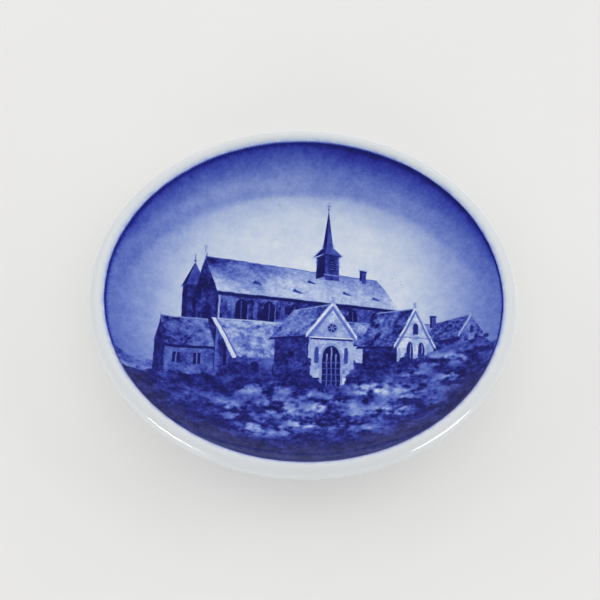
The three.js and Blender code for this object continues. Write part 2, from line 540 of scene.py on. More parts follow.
def ragged(outline, step, amount, seed):
    """An outline broken up by noise, for leaves and old edges."""
    out = []
    for i, (x0, y0) in enumerate(outline):
        x1, y1 = outline[(i + 1) % len(outline)]
        d = math.hypot(x1 - x0, y1 - y0)
        n = max(1, int(d / step))
        for k in range(n):
            t = k / n
            px, py = x0 + (x1 - x0) * t, y0 + (y1 - y0) * t
            nx, ny = (y1 - y0) / max(d, 1e-9), -(x1 - x0) / max(d, 1e-9)
            w = float(fbm(np.array([px]), np.array([py]), step * 3.2, seed, 3)[0]) * 2 * amount
            out.append((px + nx * w, py + ny * w))
    return out


def by_hand(outline, step=0.5):
    """A straight-edged outline with the waver of a drawn one. Outlines that meet waver together."""
    out = []
    for (x0, y0), (x1, y1) in zip(outline, outline[1:] + outline[:1]):
        n = max(1, int(math.hypot(x1 - x0, y1 - y0) / step))
        out += [(x0 + (x1 - x0) * k / n, y0 + (y1 - y0) * k / n) for k in range(n)]
    x, y = np.array(out).T
    dx = 0.13 * fbm(x, y, 1.1, 401, 3) + 0.16 * fbm(x, y, 4.0, 403, 2)
    dy = 0.13 * fbm(x, y, 1.1, 402, 3) + 0.16 * fbm(x, y, 4.0, 404, 2)
    return list(zip((x + dx).tolist(), (y + dy).tolist()))


def line(a, b, width):
    d = math.hypot(b[0] - a[0], b[1] - a[1])
    nx, ny = -(b[1] - a[1]) / d * width / 2, (b[0] - a[0]) / d * width / 2
    return [(a[0] + nx, a[1] + ny), (a[0] - nx, a[1] - ny), (b[0] - nx, b[1] - ny), (b[0] + nx, b[1] + ny)]


def disc(x, y, r, n=12, squash=1.0):
    return [(x + r * math.cos(2 * math.pi * k / n), y + r * squash * math.sin(2 * math.pi * k / n)) for k in range(n)]


def box(x0, y0, x1, y1):
    return [(x0, y0), (x1, y0), (x1, y1), (x0, y1)]


def arch(x, base, spring, top, half, n=5):
    """A pointed arch standing on `base`."""
    out = [(x - half, base), (x + half, base)]
    for t in span(0, 1, n):
        out.append((x + half * (1 - t**2), spring + (top - spring) * math.sin(t * math.pi / 2)))
    for t in span(1, 0, n)[1:]:
        out.append((x - half * (1 - t**2), spring + (top - spring) * math.sin(t * math.pi / 2)))
    return out


def mottled(base, amount, size, seed, octaves=4):
    return lambda x, y: base + amount * fbm(x, y, size, seed, octaves)


# Where the church is seen from: its south-west corner stands 60 m away, a little to the left.
FOCAL, HORIZON, EYE_Z, TURN = 86.6, -12.5, 2.0, rad(30)
AHEAD = (math.sin(TURN), math.cos(TURN), 0.0)
ASIDE = (math.cos(TURN), -math.sin(TURN), 0.0)
CORNER_DEPTH, CORNER_SIDE = 60.0, -11.1


def seen(p):
    side = CORNER_SIDE + p[0] * ASIDE[0] + p[1] * ASIDE[1]
    depth = CORNER_DEPTH + p[0] * AHEAD[0] + p[1] * AHEAD[1]
    return (FOCAL * side / depth, HORIZON + FOCAL * (p[2] - EYE_Z) / depth)


EYE = tuple(-CORNER_SIDE * ASIDE[i] - CORNER_DEPTH * AHEAD[i] for i in range(2)) + (EYE_Z,)


class Face:
    """One flat side of the church, with its own metre grid: u along `along`, v along `up`."""

    def __init__(self, origin, along, up):
        unit = lambda a: tuple(c / math.sqrt(sum(k * k for k in a)) for c in a)
        self.o, self.u, self.v = origin, unit(along), unit(up)
        u, v = self.u, self.v
        self.n = (u[1] * v[2] - u[2] * v[1], u[2] * v[0] - u[0] * v[2], u[0] * v[1] - u[1] * v[0])

    def at(self, u, v):
        return seen(tuple(self.o[i] + self.u[i] * u + self.v[i] * v for i in range(3)))

    def grid(self, x, y):
        ray = [AHEAD[i] + ASIDE[i] * x / FOCAL for i in range(2)] + [(y - HORIZON) / FOCAL]
        t = sum((self.o[i] - EYE[i]) * self.n[i] for i in range(3)) / sum(ray[i] * self.n[i] for i in range(3))
        p = [EYE[i] + ray[i] * t - self.o[i] for i in range(3)]
        return sum(p[i] * self.u[i] for i in range(3)), sum(p[i] * self.v[i] for i in range(3))

    def draw(self, outline, shade, kind=(0, 0, 0)):
        pts = by_hand([self.at(u, v) for u, v in outline])
        fn = (lambda x, y: shade(*self.grid(x, y))) if callable(shade) else shade
        paint(pts, fn, kind, self.grid)


def past_border(x, y):
    """How far outside the border line a point lies, in millimetres. The line is a little off centre and unsteady."""
    a = np.arctan2(y, x)
    edge = 37.155 + 0.11 * np.cos(a) - 0.36 * np.sin(a) - 0.084 * np.cos(2 * a) - 0.036 * np.sin(2 * a) - 0.024 * np.cos(3 * a) + 0.042 * np.sin(3 * a)
    return np.hypot(x, y) - edge - 0.06 * fbm(x, y, 1.3, 90, 3) - 0.05 * fbm(x, y, 6.0, 92, 2)


def fade(x, y):
    """How the line runs out: crisp at the sides, softer at the foot and at the top."""
    w = 0.26 - 0.11 * smooth(y, -16, 0) + 0.12 * np.exp(-(((x - 3) / 9) ** 2)) * smooth(y, 0, 10)
    return smooth(-past_border(x, y), -w, w)


def full_line(x, y):
    return 0.95 + 0.05 * smooth(y, -8, 14) + 0.08 * fbm(x, y, 1.6, 91, 3)


def sky(x, y):
    r = np.hypot(x, y)
    up = np.clip(y / np.maximum(r, 1e-6), 0, 1)
    ink = 0.030 + 0.035 * smooth(-x, 6, 26) * (1 - up) + 0.225 * (r / 37) ** 2.2 + 0.33 * smooth(r, 20, 37)
    # A bank of light stands over the roofs, and the sky deepens above it.
    d = np.hypot(x - 0.15, y + 9.6) - 36.5 + 0.5 * fbm(x, y, 9.0, 5, 2)
    ink += 0.135 * up * smooth(d, -1.1, 0.35)
    ink += 0.06 * up * smooth(d, -0.5, 2.5) * (smooth(x, -2, 10) - 0.5)
    ink += 0.035 * up * np.exp(-(((d - 0.7) / 0.6) ** 2))
    ink -= 0.055 * smooth(-x, 2, 14) * np.exp(-(((d - 2.7) / 1.0) ** 2))
    ink -= 0.03 * smooth(x, 6, 16) * np.exp(-(((d - 3.0) / 1.1) ** 2))
    ink += 0.17 * (0.35 + 0.65 * up) * smooth(r, 31.0, 36.8) * smooth(y, -8, 14)
    ink += (0.05 * smooth(r, 35.2, 37.1) + 0.10 * smooth(r, 35.9, 36.5)) * smooth(y, 2, 18)
    ink += 0.04 * fbm(x, y, 7.0, 3, 3) + 0.07 * fbm(x, y, 1.5, 4, 3)
    return (ink + (full_line(x, y) - ink) * smooth(past_border(x, y) - 0.002 * x, -0.50, -0.32)) * fade(x, y)


paint([(-40, -40), (40, -40), (40, 40), (-40, 40)], sky, wash_and_painted_veil=1.0)

# Distant village on the left: a low hill, a few pale roofs and a line of hedges.
paint(ragged([(-38, -12.8), (-35.2, -12.5), (-33.0, -13.4), (-31.0, -14.6), (-29.6, -16.4), (-38, -16.4)], 0.3, 0.3, 214), mottled(0.82, 0.14, 0.8, 213), (0.2, 0, 0.3))
for k, (x, w, h) in enumerate(((-33.9, 1.5, 1.0), (-31.9, 1.7, 1.5), (-29.7, 1.2, 0.9), (-27.6, 1.5, 1.7))):
    paint(by_hand([(x - w, -18.2), (x - w, -15.9), (x - w * 0.5, -15.7 + h), (x + w * 0.65, -15.8 + h * 0.9), (x + w, -16.1), (x + w, -18.2)]), mottled(0.62 + 0.06 * (k % 2), 0.2, 0.9, 200 + k), (0.3, 0, 0.4))
    paint(by_hand([(x - w, -18.2), (x - w, -16.1), (x + w, -16.3), (x + w, -18.2)]), mottled(0.56, 0.2, 0.8, 210 + k), (0, 0, 0.5))
    paint(line((x - w * 0.5, -15.7 + h), (x + w * 0.65, -15.8 + h * 0.9), 0.14), 0.72)
paint(ragged([(-38, -17.4), (-33, -17.2), (-30.7, -17.5), (-28.4, -16.9), (-24.5, -17.2), (-24.5, -21), (-38, -21)], 0.4, 0.3, 215), mottled(0.8, 0.16, 0.9, 216), (0, 0.5, 0))

# Small stair tower at the north-west corner.
TOWER_W = 2.6
tw = Face((-1.0, 13.2, 0), (0, -1, 0), (0, 0, 1))
ts = Face((-1.0, 13.2 - TOWER_W, 0), (1, 0, 0), (0, 0, 1))
tw.draw(box(0, -2, TOWER_W, 16.0), lambda u, v: 0.95 + 0.08 * fbm(u, v, 1.2, 220), (0, 0, 0.3))
ts.draw(box(0, -2, TOWER_W, 16.0), lambda u, v: 0.89 + 0.16 * fbm(u, v * 1.4, 1.6, 221), (0, 0, 0.5))
ts.draw(arch(TOWER_W / 2, 10.8, 12.4, 13.2, 0.42, 3), 0.97)
ts.draw(arch(TOWER_W / 2, 6.2, 7.6, 8.2, 0.32, 3), 0.95)
peak = seen((-1.0 + TOWER_W / 2, 13.2 - TOWER_W / 2, 20.6))
a, b, c = (seen((-1.25, 13.45, 15.9)), seen((-1.25, 13.2 - TOWER_W - 0.25, 15.9)), seen((-1.0 + TOWER_W + 0.25, 13.2 - TOWER_W - 0.25, 15.9)))
paint([a, b, peak], mottled(0.93, 0.08, 0.8, 222))
paint([b, c, peak], lambda x, y: 0.78 + 0.16 * fbm(x, y, 0.9, 223), (0.2, 0, 0))
paint(line(peak, (peak[0], peak[1] + 1.9), 0.14), 0.7)
paint(disc(peak[0], peak[1] + 0.25, 0.26, 8), 0.85)

# Nave: west gable, south wall, roof.
NAVE_L, NAVE_W, NAVE_EAVE, NAVE_RIDGE = 30.5, 11.0, 13.6, 20.2
west = Face((0, NAVE_W, 0), (0, -1, 0), (0, 0, 1))
west.draw([(0, -2.5), (NAVE_W, -2.5), (NAVE_W, NAVE_EAVE), (NAVE_W / 2, NAVE_RIDGE), (0, NAVE_EAVE)], lambda u, v: 0.90 + 0.05 * smooth(-u, -8, 0) + 0.26 * fbm(u * 1.3, v, 3.2, 224) - 0.1 * smooth(-v, -9, -3), (0, 0, 0.7))
for u, w in ((3.4, 0.7), (7.4, 0.7)):
    west.draw(arch(u, 5.6, 9.4, 10.8, w, 4), mottled(0.96, 0.06, 0.8, 225))
west.draw(disc(NAVE_W / 2, 14.8, 1.15, 12), mottled(0.97, 0.05, 0.8, 226))
west.draw([(NAVE_W, NAVE_EAVE - 0.2), (NAVE_W / 2, NAVE_RIDGE - 0.3), (NAVE_W / 2, NAVE_RIDGE + 0.75), (NAVE_W + 0.35, NAVE_EAVE + 0.1)], mottled(0.34, 0.2, 1.4, 227))
west.draw([(0, NAVE_EAVE - 0.2), (NAVE_W / 2, NAVE_RIDGE - 0.3), (NAVE_W / 2, NAVE_RIDGE + 0.75), (-0.35, NAVE_EAVE + 0.1)], mottled(0.9, 0.1, 1.4, 228))

south = Face((0, 0, 0), (1, 0, 0), (0, 0, 1))
south.draw(box(0, 0, NAVE_L, NAVE_EAVE), lambda u, v: 0.89 - 0.10 * np.exp(-(((u - 1.8) / 1.5) ** 2)) + 0.04 * smooth(u, 14, 24) + 0.44 * fbm(u * 0.8, v * 1.3, 2.2, 229), (0, 0, 1.0))
for k, u in enumerate((3.3, 7.4, 11.5, 21.6, 26.0)):
    south.draw(arch(u, 8.9, 10.9, 12.3, 0.86, 5), mottled(0.97, 0.05, 0.8, 230 + k))
    south.draw(line((u + 0.98, 8.9), (u + 0.98, 11.2), 0.13), 0.62)
    south.draw(box(u - 1.0, 8.62, u + 1.1, 8.82), 0.66)
    south.draw(line((u, 9.0), (u, 12.0), 0.13), 0.72)
for u in (1.0, 5.4, 9.5, 24.0, 28.6):
    south.draw([(u - 0.3, 7.0), (u + 0.3, 7.0), (u + 0.3, 11.8), (u - 0.3, 12.3)], mottled(0.76, 0.28, 1.0, 236))
south.draw(line((0.25, 8.8), (0.25, 13.1), 0.24), mottled(0.32, 0.2, 1.0, 237))
south.draw([(0, NAVE_EAVE - 1.0), (NAVE_L, NAVE_EAVE - 0.95), (NAVE_L, NAVE_EAVE + 0.1), (0, NAVE_EAVE + 0.1)], mottled(0.96, 0.05, 1.2, 238))

slope_up = (0, NAVE_W / 2 + 0.5, NAVE_RIDGE - NAVE_EAVE + 0.5)
NAVE_RUN = math.hypot(slope_up[1], slope_up[2])
roof = Face((-0.3, -0.5, NAVE_EAVE - 0.5), (1, 0, 0), slope_up)


def nave_roof(u, v):
    t = np.clip(v / NAVE_RUN, 0, 1)
    ink = 0.19 + 0.20 * smooth(t, 0.25, 0.95) + 0.05 * smooth(u, 14, 24) + 0.36 * smooth(-u, -15, -1) * smooth(t, 0.0, 0.65)
    ink += 0.34 * fbm(u, v * 0.8, 3.0, 239, 4) * (0.35 + 0.75 * smooth(-u, -20, -3)) + 0.16 * fbm(u, v, 0.8, 240, 2)
    ink += 0.10 * smooth(u, 20, 30) * smooth(t, 0.2, 0.9)
    return ink + 0.16 * smooth(t, 0.94, 1.0)


roof.draw(box(0, 0, NAVE_L + 0.6, NAVE_RUN), nave_roof, (0.5, 0, 0))
roof.draw(box(0, 0, NAVE_L + 0.6, 0.22), 0.3)
roof.draw(box(0, NAVE_RUN - 0.2, NAVE_L + 0.6, NAVE_RUN + 0.05), mottled(0.55, 0.2, 1.0, 241))
# Small gabled vents on the roof.
for u, v in ((6.4, 3.3), (12.6, 2.2), (16.2, 5.6), (21.8, 3.4), (27.2, 2.6)):
    roof.draw([(u - 0.75, v - 0.2), (u - 0.1, v + 0.75), (u + 0.9, v - 0.35), (u + 0.35, v - 0.5)], mottled(0.84, 0.1, 0.5, 242))
    roof.draw([(u - 0.75, v - 0.2), (u - 0.1, v + 0.75), (u - 0.45, v + 0.62)], 0.25)
cross = seen((-0.2, NAVE_W / 2, NAVE_RIDGE + 0.6))
paint(line(cross, (cross[0], cross[1] + 1.9), 0.13), 0.62)
paint(line((cross[0] - 0.42, cross[1] + 1.35), (cross[0] + 0.42, cross[1] + 1.3), 0.13), 0.62)

# Bell turret and its spire, on the ridge.
BX, BH = 20.4, 1.35
base_z, bell_z, tip_z = NAVE_RIDGE - 1.6, NAVE_RIDGE + 3.4, NAVE_RIDGE + 13.2
q0 = NAVE_W / 2
bs = Face((BX - BH, q0 - BH, base_z), (1, 0, 0), (0, 0, 1))
bw = Face((BX - BH, q0 + BH, base_z), (0, -1, 0), (0, 0, 1))
bw.draw(box(0, 0.6, 2 * BH, bell_z - base_z), mottled(0.97, 0.04, 1.0, 243))
bs.draw([(0, 0), (2 * BH, 0), (2 * BH, bell_z - base_z), (0, bell_z - base_z)], mottled(0.84, 0.14, 0.7, 244), (0, 0, 0.4))
bs.draw(arch(BH, 1.9, 3.6, 4.4, 0.62, 4), 0.98)
for k in range(4):
    bs.draw(line((BH - 0.5, 2.2 + 0.45 * k), (BH + 0.5, 2.2 + 0.45 * k), 0.11), 0.6)
bs.draw(box(-0.3, bell_z - base_z - 0.12, 2 * BH + 0.3, bell_z - base_z + 0.3), 0.93)
bs.draw(box(-0.2, 0.9, 2 * BH + 0.2, 1.15), 0.55)
e0, e1, e2 = seen((BX - BH - 0.4, q0 + BH + 0.4, bell_z)), seen((BX - BH - 0.4, q0 - BH - 0.4, bell_z)), seen((BX + BH + 0.4, q0 - BH - 0.4, bell_z))
m0, m1, m2 = seen((BX - 0.62, q0 + 0.62, bell_z + 1.9)), seen((BX - 0.62, q0 - 0.62, bell_z + 1.9)), seen((BX + 0.62, q0 - 0.62, bell_z + 1.9))
tip = seen((BX, q0, tip_z))
paint([e0, e1, m1, tip, m0], mottled(0.97, 0.04, 0.9, 245))
paint([e1, e2, m2, tip, m1], lambda x, y: 0.74 + 0.16 * fbm(x, y, 0.9, 246) + 0.12 * smooth(y, 16, 20), (0.2, 0, 0))
paint(line(tip, (tip[0], tip[1] + 1.5), 0.14), 0.75)
paint(line((tip[0] - 0.5, tip[1] + 0.95), (tip[0] + 0.5, tip[1] + 0.9), 0.15), 0.75)
paint(disc(tip[0], tip[1] + 0.12, 0.22, 8), 0.85)

# A plain chimney further along the ridge.
for x, h in ((27.6, 1.9),):
    cs = Face((x - 0.55, q0 - 0.5, NAVE_RIDGE - 0.6), (1, 0, 0), (0, 0, 1))
    cs.draw(box(-0.45, 0, 0, h), 0.96)
    cs.draw(box(0, -0.5, 0.9, h), mottled(0.84, 0.14, 0.6, 247))
    cs.draw(box(-0.55, h - 0.15, 1.0, h + 0.25), 0.93)

# Hall beyond the east end, and the east wing.
hall = Face((32.5, 4.0, 0), (1, 0, 0), (0, 0, 1))
hall.draw(box(0, -2, 15.5, 8.2), lambda u, v: 0.82 + 0.24 * fbm(u, v * 1.4, 1.8, 248), (0, 0, 0.6))
hall_roof = Face((32.3, 3.7, 8.0), (1, 0, 0), (0, 3.6, 4.2))
hall_roof.draw([(0, 0), (16.0, 0), (16.0, 5.5), (0, 5.5)], lambda u, v: 0.66 + 0.28 * fbm(u, v, 1.6, 249, 4) - 0.1 * smooth(u, 6, 14), (0.5, 0, 0))
hall_roof.draw(box(0, -0.6, 16.0, 0.05), 0.95)
hall_roof.draw(box(0, 5.4, 16.0, 5.65), 0.72)
for u in (2.0, 4.9, 7.8, 10.7, 13.2):
    hall.draw(arch(u, 3.2, 5.6, 6.4, 0.62, 4), 0.96)
    hall.draw(box(u - 0.75, 2.9, u + 0.8, 3.1), 0.45)
for u in (4.2, 13.4):
    cs = Face((32.3 + u, 7.3, 11.4), (1, 0, 0), (0, 0, 1))
    cs.draw(box(-0.5, 0, 0.1, 2.5), 0.96)
    cs.draw(box(0, -0.5, 1.1, 2.6), mottled(0.8, 0.14, 0.6, 250))
    cs.draw(box(-0.65, 2.4, 1.25, 2.8), 0.93)
gate = Face((48.0, 2.6, 0), (1, 0, 0), (0, 0, 1))
gate.draw([(0, -2), (6.2, -2), (6.2, 8.6), (3.1, 13.2), (0, 8.6)], lambda u, v: 0.66 + 0.4 * fbm(u, v, 1.3, 251) + 0.12 * smooth(-v, -6, 0), (0, 0, 1.0))
groof = Face((47.7, 2.6, 8.3), (0, 1, 0), (3.4, 0, 4.9))
groof.draw(box(0, 0, 9.0, 6.1), lambda u, v: 0.74 + 0.3 * fbm(u, v, 1.0, 252), (0.8, 0, 0))
gw = Face((48.0, 8.0, 0), (0, -1, 0), (0, 0, 1))
gw.draw(box(0, 0, 5.4, 8.3), 0.92)
gate.draw([(-0.4, 8.2), (3.1, 12.9), (3.1, 13.9), (-0.4, 8.9)], 0.3)
gate.draw([(6.6, 8.2), (3.1, 12.9), (3.1, 13.9), (6.6, 8.9)], 0.5)
for u in (1.7, 4.4):
    gate.draw(arch(u, 4.4, 7.4, 8.4, 0.55, 4), 0.93)
gate.draw(arch(3.1, 8.8, 10.0, 10.8, 0.45, 4), 0.9)

# Aisle along the south side: lean-to roof, wall with small windows, buttresses.
AISLE_TOP, AISLE_EAVE, AISLE_W, AISLE_END = 8.9, 2.9, 7.4, 12.5
awest = Face((0, 0, 0), (0, -1, 0), (0, 0, 1))
awest.draw([(0, -2.5), (AISLE_W, -2.5), (AISLE_W, AISLE_EAVE), (0, AISLE_TOP + 0.2)], lambda u, v: 0.84 + 0.26 * fbm(u * 1.4, v, 1.6, 252) - 0.16 * smooth(-u, -2.4, 0), (0, 0, 0.6))
awest.draw(arch(3.4, 1.4, 3.4, 4.4, 0.55, 4), 0.97)
awall = Face((0, -AISLE_W, 0), (1, 0, 0), (0, 0, 1))
awall.draw(box(0, -2.5, AISLE_END, AISLE_EAVE), mottled(0.72, 0.28, 1.2, 253), (0, 0, 0.6))
for u in (2.2, 5.2, 8.2, 11.0):
    awall.draw(arch(u, -0.4, 1.3, 2.1, 0.6, 4), 0.95)
aroof = Face((-0.3, -AISLE_W - 0.4, AISLE_EAVE - 0.3), (1, 0, 0), (0, AISLE_W + 0.4, AISLE_TOP - AISLE_EAVE + 0.3))
AISLE_RUN = math.hypot(AISLE_W + 0.4, AISLE_TOP - AISLE_EAVE + 0.3)


def aisle_roof(u, v):
    ink = 0.42 + 0.08 * smooth(-u, -6, 0) * smooth(v, 3, 8) - 0.08 * smooth(-v, -4, 0)
    return ink + 0.42 * fbm(u, v, 0.8, 254, 2) + 0.16 * fbm(u, v, 3.0, 255, 2)


aroof.draw(box(0, 0, AISLE_END, AISLE_RUN), aisle_roof, (0.8, 0, 0))
aroof.draw(box(0, -0.05, AISLE_END, 0.2), 0.62)
aroof.draw([(-0.36, -0.1), (0.20, -0.1), (0.20, AISLE_RUN + 0.1), (-0.36, AISLE_RUN + 0.1)], mottled(0.06, 0.12, 0.7, 256))
aroof.draw([(0.20, 0), (0.42, 0), (0.38, AISLE_RUN - 0.1), (0.20, AISLE_RUN - 0.1)], 0.66)
aroof.draw(box(0.4, AISLE_RUN - 0.2, AISLE_END, AISLE_RUN + 0.05), 0.22)

# House at the west end.
HX, HQ, HL, HW, HE, HR = -7.0, -2.6, 5.9, 5.4, 4.4, 8.6
hw = Face((HX, HQ + HW, 0), (0, -1, 0), (0, 0, 1))
hw.draw([(0, -2.5), (HW, -2.5), (HW, HE), (HW / 2, HR), (0, HE)], mottled(0.92, 0.12, 1.2, 257), (0, 0, 0.4))
hw.draw([(HW + 0.3, HE - 0.35), (HW / 2, HR - 0.35), (HW / 2, HR + 0.4), (HW + 0.3, HE + 0.2)], mottled(0.38, 0.2, 0.8, 258))
hw.draw([(-0.3, HE - 0.3), (HW / 2, HR - 0.3), (HW / 2, HR + 0.4), (-0.3, HE + 0.2)], 0.9)
hw.draw(box(2.2, 4.6, 3.2, 5.8), 0.98)
hs = Face((HX, HQ, 0), (1, 0, 0), (0, 0, 1))
hs.draw(box(0, -2.5, HL, HE), mottled(0.72, 0.34, 1.2, 259), (0, 0, 0.6))
for u in (1.4, 3.9):
    hs.draw(box(u - 0.45, 1.5, u + 0.45, 3.1), 0.95)
    hs.draw(line((u, 1.5), (u, 3.1), 0.12), 0.55)
hroof = Face((HX - 0.2, HQ - 0.3, HE - 0.3), (1, 0, 0), (0, HW / 2 + 0.3, HR - HE + 0.3))
HRUN = math.hypot(HW / 2 + 0.3, HR - HE + 0.3)
hroof.draw(box(0, 0, HL + 0.2, HRUN), lambda u, v: 0.76 - 0.14 * smooth(u, 1, 6) + 0.36 * fbm(u, v, 1.0, 260, 4), (0.7, 0, 0))
hroof.draw(box(0, -0.45, HL + 0.2, 0.08), 0.94)
hroof.draw(box(0, HRUN - 0.15, HL + 0.2, HRUN + 0.08), 0.42)


def wing(x, width, depth_out, eave, ridge, seed, front_ink, roof_ink, wall_ink):
    """A gabled wing that stands out from the south side: its west roof slope, west wall and pale front."""
    wall_w = Face((x, 0, 0), (0, -1, 0), (0, 0, 1))
    wall_w.draw(box(-0.2, 0, depth_out, eave), mottled(wall_ink, 0.2, 1.3, seed), (0, 0, 0.6))
    up = (width / 2 + 0.35, 0, ridge - eave + 0.35 * (ridge - eave) / (width / 2))
    run = math.hypot(up[0], up[2])
    slope = Face((x - 0.35, 0.0, eave - 0.35 * (ridge - eave) / (width / 2)), (0, -1, 0), up)
    slope.draw(box(-1.2, 0, depth_out + 0.2, run), lambda u, v: roof_ink + 0.50 * fbm(u, v, 1.2, seed + 1, 4), (0.7, 0, 0))
    slope.draw(box(-1.2, -0.4, depth_out + 0.2, 0.1), 0.95)
    slope.draw(box(-1.2, run - 0.18, depth_out + 0.2, run + 0.1), 0.45)
    front = Face((x, -depth_out, 0), (1, 0, 0), (0, 0, 1))
    k = (ridge - eave) / (width / 2)
    front.draw([(0, 0), (width, 0), (width, eave), (width / 2, ridge), (0, eave)], lambda u, v: front_ink + 0.42 * fbm(u, v, 1.1, seed + 2, 4) + 0.1 * smooth(u, width * 0.6, width), (0, 0, 0.9))
    # Coping: a pale capping with its shadow under it.
    front.draw([(-0.4, eave - 0.4 * k), (width / 2, ridge), (width / 2, ridge - 0.95), (0.12, eave - 0.85)], 0.62)
    front.draw([(width + 0.4, eave - 0.4 * k), (width / 2, ridge), (width / 2, ridge - 0.95), (width - 0.12, eave - 0.85)], 0.62)
    front.draw([(-0.5, eave - 0.5 * k - 0.1), (width / 2, ridge - 0.28), (width / 2, ridge + 0.42), (-0.5, eave - 0.5 * k + 0.5)], mottled(0.07, 0.34, 0.7, seed + 3))
    front.draw([(width + 0.5, eave - 0.5 * k - 0.1), (width / 2, ridge - 0.28), (width / 2, ridge + 0.42), (width + 0.5, eave - 0.5 * k + 0.5)], mottled(0.16, 0.36, 0.7, seed + 4))
    front.draw(box(width / 2 - 0.28, ridge + 0.1, width / 2 + 0.28, ridge + 1.05), 0.4)
    return front


def window(face, x, base, spring, top, half, lights, seed):
    face.draw(arch(x, base - 0.25, spring, top + 0.42, half + 0.36, 7), mottled(0.42, 0.16, 0.6, seed))
    face.draw(arch(x, base, spring, top, half, 7), mottled(0.96, 0.05, 0.8, seed + 1))
    for k in range(1, lights):
        u = x - half + 2 * half * k / lights
        reach = spring + (top - spring) * (1 - abs(u - x) / half) * 0.9
        face.draw(box(u - 0.09, base, u + 0.09, reach), lambda a, b: 0.38 + 0.3 * smooth(-b, -4, -1))
    v = base + 0.9
    while v < spring - 0.2:
        face.draw(box(x - half, v - 0.05, x + half, v + 0.05), 0.68)
        v += 0.9
    face.draw(box(x - half - 0.5, base - 0.6, x + half + 0.5, base - 0.28), 0.2)


# Wall and roofs between the two wings.
mid = Face((15.0, -4.6, 0), (1, 0, 0), (0, 0, 1))
mid.draw(box(0, 0, 10.5, 5.6), mottled(0.82, 0.2, 1.2, 262), (0, 0, 0.6))
mid_roof = Face((14.8, -5.0, 5.4), (1, 0, 0), (0, 5.0, 4.6))
mid_roof.draw(box(0, 0, 10.8, 6.8), lambda u, v: 0.64 + 0.62 * fbm(u * 0.8 - v * 0.5, u * 0.3 + v * 0.5, 0.9, 263, 3) - 0.08 * smooth(u, 3, 9), (0.6, 0, 0))
mid_roof.draw(box(0, -0.6, 10.8, 0.05), 0.95)
mid_roof.draw(box(0, 6.65, 10.8, 6.85), 0.4)
low = Face((16.2, -8.4, 0), (1, 0, 0), (0, 0, 1))
low.draw(box(0, 0, 6.4, 2.6), mottled(0.86, 0.12, 1.0, 264), (0, 0, 0.5))
low_roof = Face((16.0, -8.8, 2.4), (1, 0, 0), (0, 4.0, 2.9))
low_roof.draw(box(0, 0, 6.6, 4.9), lambda u, v: 0.26 + 0.26 * fbm(u, v, 0.9, 265, 3), (0.5, 0, 0))
low_roof.draw(box(0, -0.3, 6.6, 0.08), 0.85)

FRONT_W = 6.7
front = wing(8.6, FRONT_W, 9.0, 6.7, 11.4, 270, 0.31, 0.62, 0.90)
c = FRONT_W / 2
window(front, c, -2.2, 2.6, 4.9, 1.35, 4, 280)
front.draw(disc(c, 7.6, 0.95, 14), mottled(0.42, 0.1, 0.5, 282))
front.draw(disc(c, 7.6, 0.68, 12), 0.95)
for k in range(3):
    a = math.pi * k / 3 + 0.3
    front.draw(line((c - 0.66 * math.cos(a), 7.6 - 0.66 * math.sin(a)), (c + 0.66 * math.cos(a), 7.6 + 0.66 * math.sin(a)), 0.14), 0.5)
front.draw(box(0.15, 5.72, FRONT_W - 0.15, 6.0), mottled(0.86, 0.1, 0.5, 283))
front.draw(box(0.1, 6.0, FRONT_W - 0.1, 6.16), 0.03)
for u in (0.32, FRONT_W - 0.32):
    front.draw([(u - 0.42, -2), (u + 0.42, -2), (u + 0.36, 5.0), (u, 5.7), (u - 0.36, 5.0)], mottled(0.3, 0.2, 0.9, 284))
for u in (1.15, FRONT_W - 1.15):
    front.draw(arch(u, 2.2, 4.0, 4.7, 0.3, 3), 0.8)

chapel = wing(23.8, 6.9, 7.6, 6.1, 12.4, 290, 0.20, 0.74, 0.93)
for u in (2.35, 4.55):
    chapel.draw(arch(u, 1.6, 4.9, 6.4, 0.62, 5), mottled(0.9, 0.08, 0.6, 291))
    chapel.draw(arch(u + 0.16, 1.6, 4.9, 6.2, 0.08, 2), 0.35)
chapel.draw(arch(3.45, 7.7, 8.9, 9.8, 0.5, 4), 0.9)
chapel.draw(box(0.2, 7.0, 6.7, 7.18), mottled(0.6, 0.2, 0.5, 292))
for u in (0.4, 6.5):
    chapel.draw([(u - 0.4, -1), (u + 0.4, -1), (u + 0.34, 4.6), (u, 5.3), (u - 0.34, 4.6)], mottled(0.36, 0.2, 0.9, 293))

# Trees.
TREES = [
    (-40, -18.4), (-34.5, -18.0), (-31.5, -17.1), (-29, -17.5), (-26.6, -16.0), (-24.6, -16.2), (-22.6, -15.2), (-20.6, -15.9), (-18.2, -15.1), (-16.0, -15.5), (-14.4, -14.3), (-13.2, -12.6), (-11.8, -11.4), (-10.4, -11.7),
    (-9.4, -13.0), (-8.6, -14.6), (-6.4, -15.0), (-4.2, -14.4), (-2.6, -13.0), (-1.4, -10.8), (-0.2, -9.7), (0.8, -10.4), (1.5, -12.6), (2.2, -15.6), (4.0, -17.2), (8.0, -17.1), (9.0, -14.6),
    (11.2, -13.3), (13.4, -13.9), (15.8, -13.2), (17.2, -11.6), (18.8, -10.4), (21.0, -10.5), (23.4, -9.3), (25.2, -8.2), (27.5, -7.9), (29.6, -7.0), (31.6, -7.5), (33.4, -7.3), (35.0, -9.0), (40, -10.4),
    (40, -40), (-40, -40),
]

rng = np.random.default_rng(11)
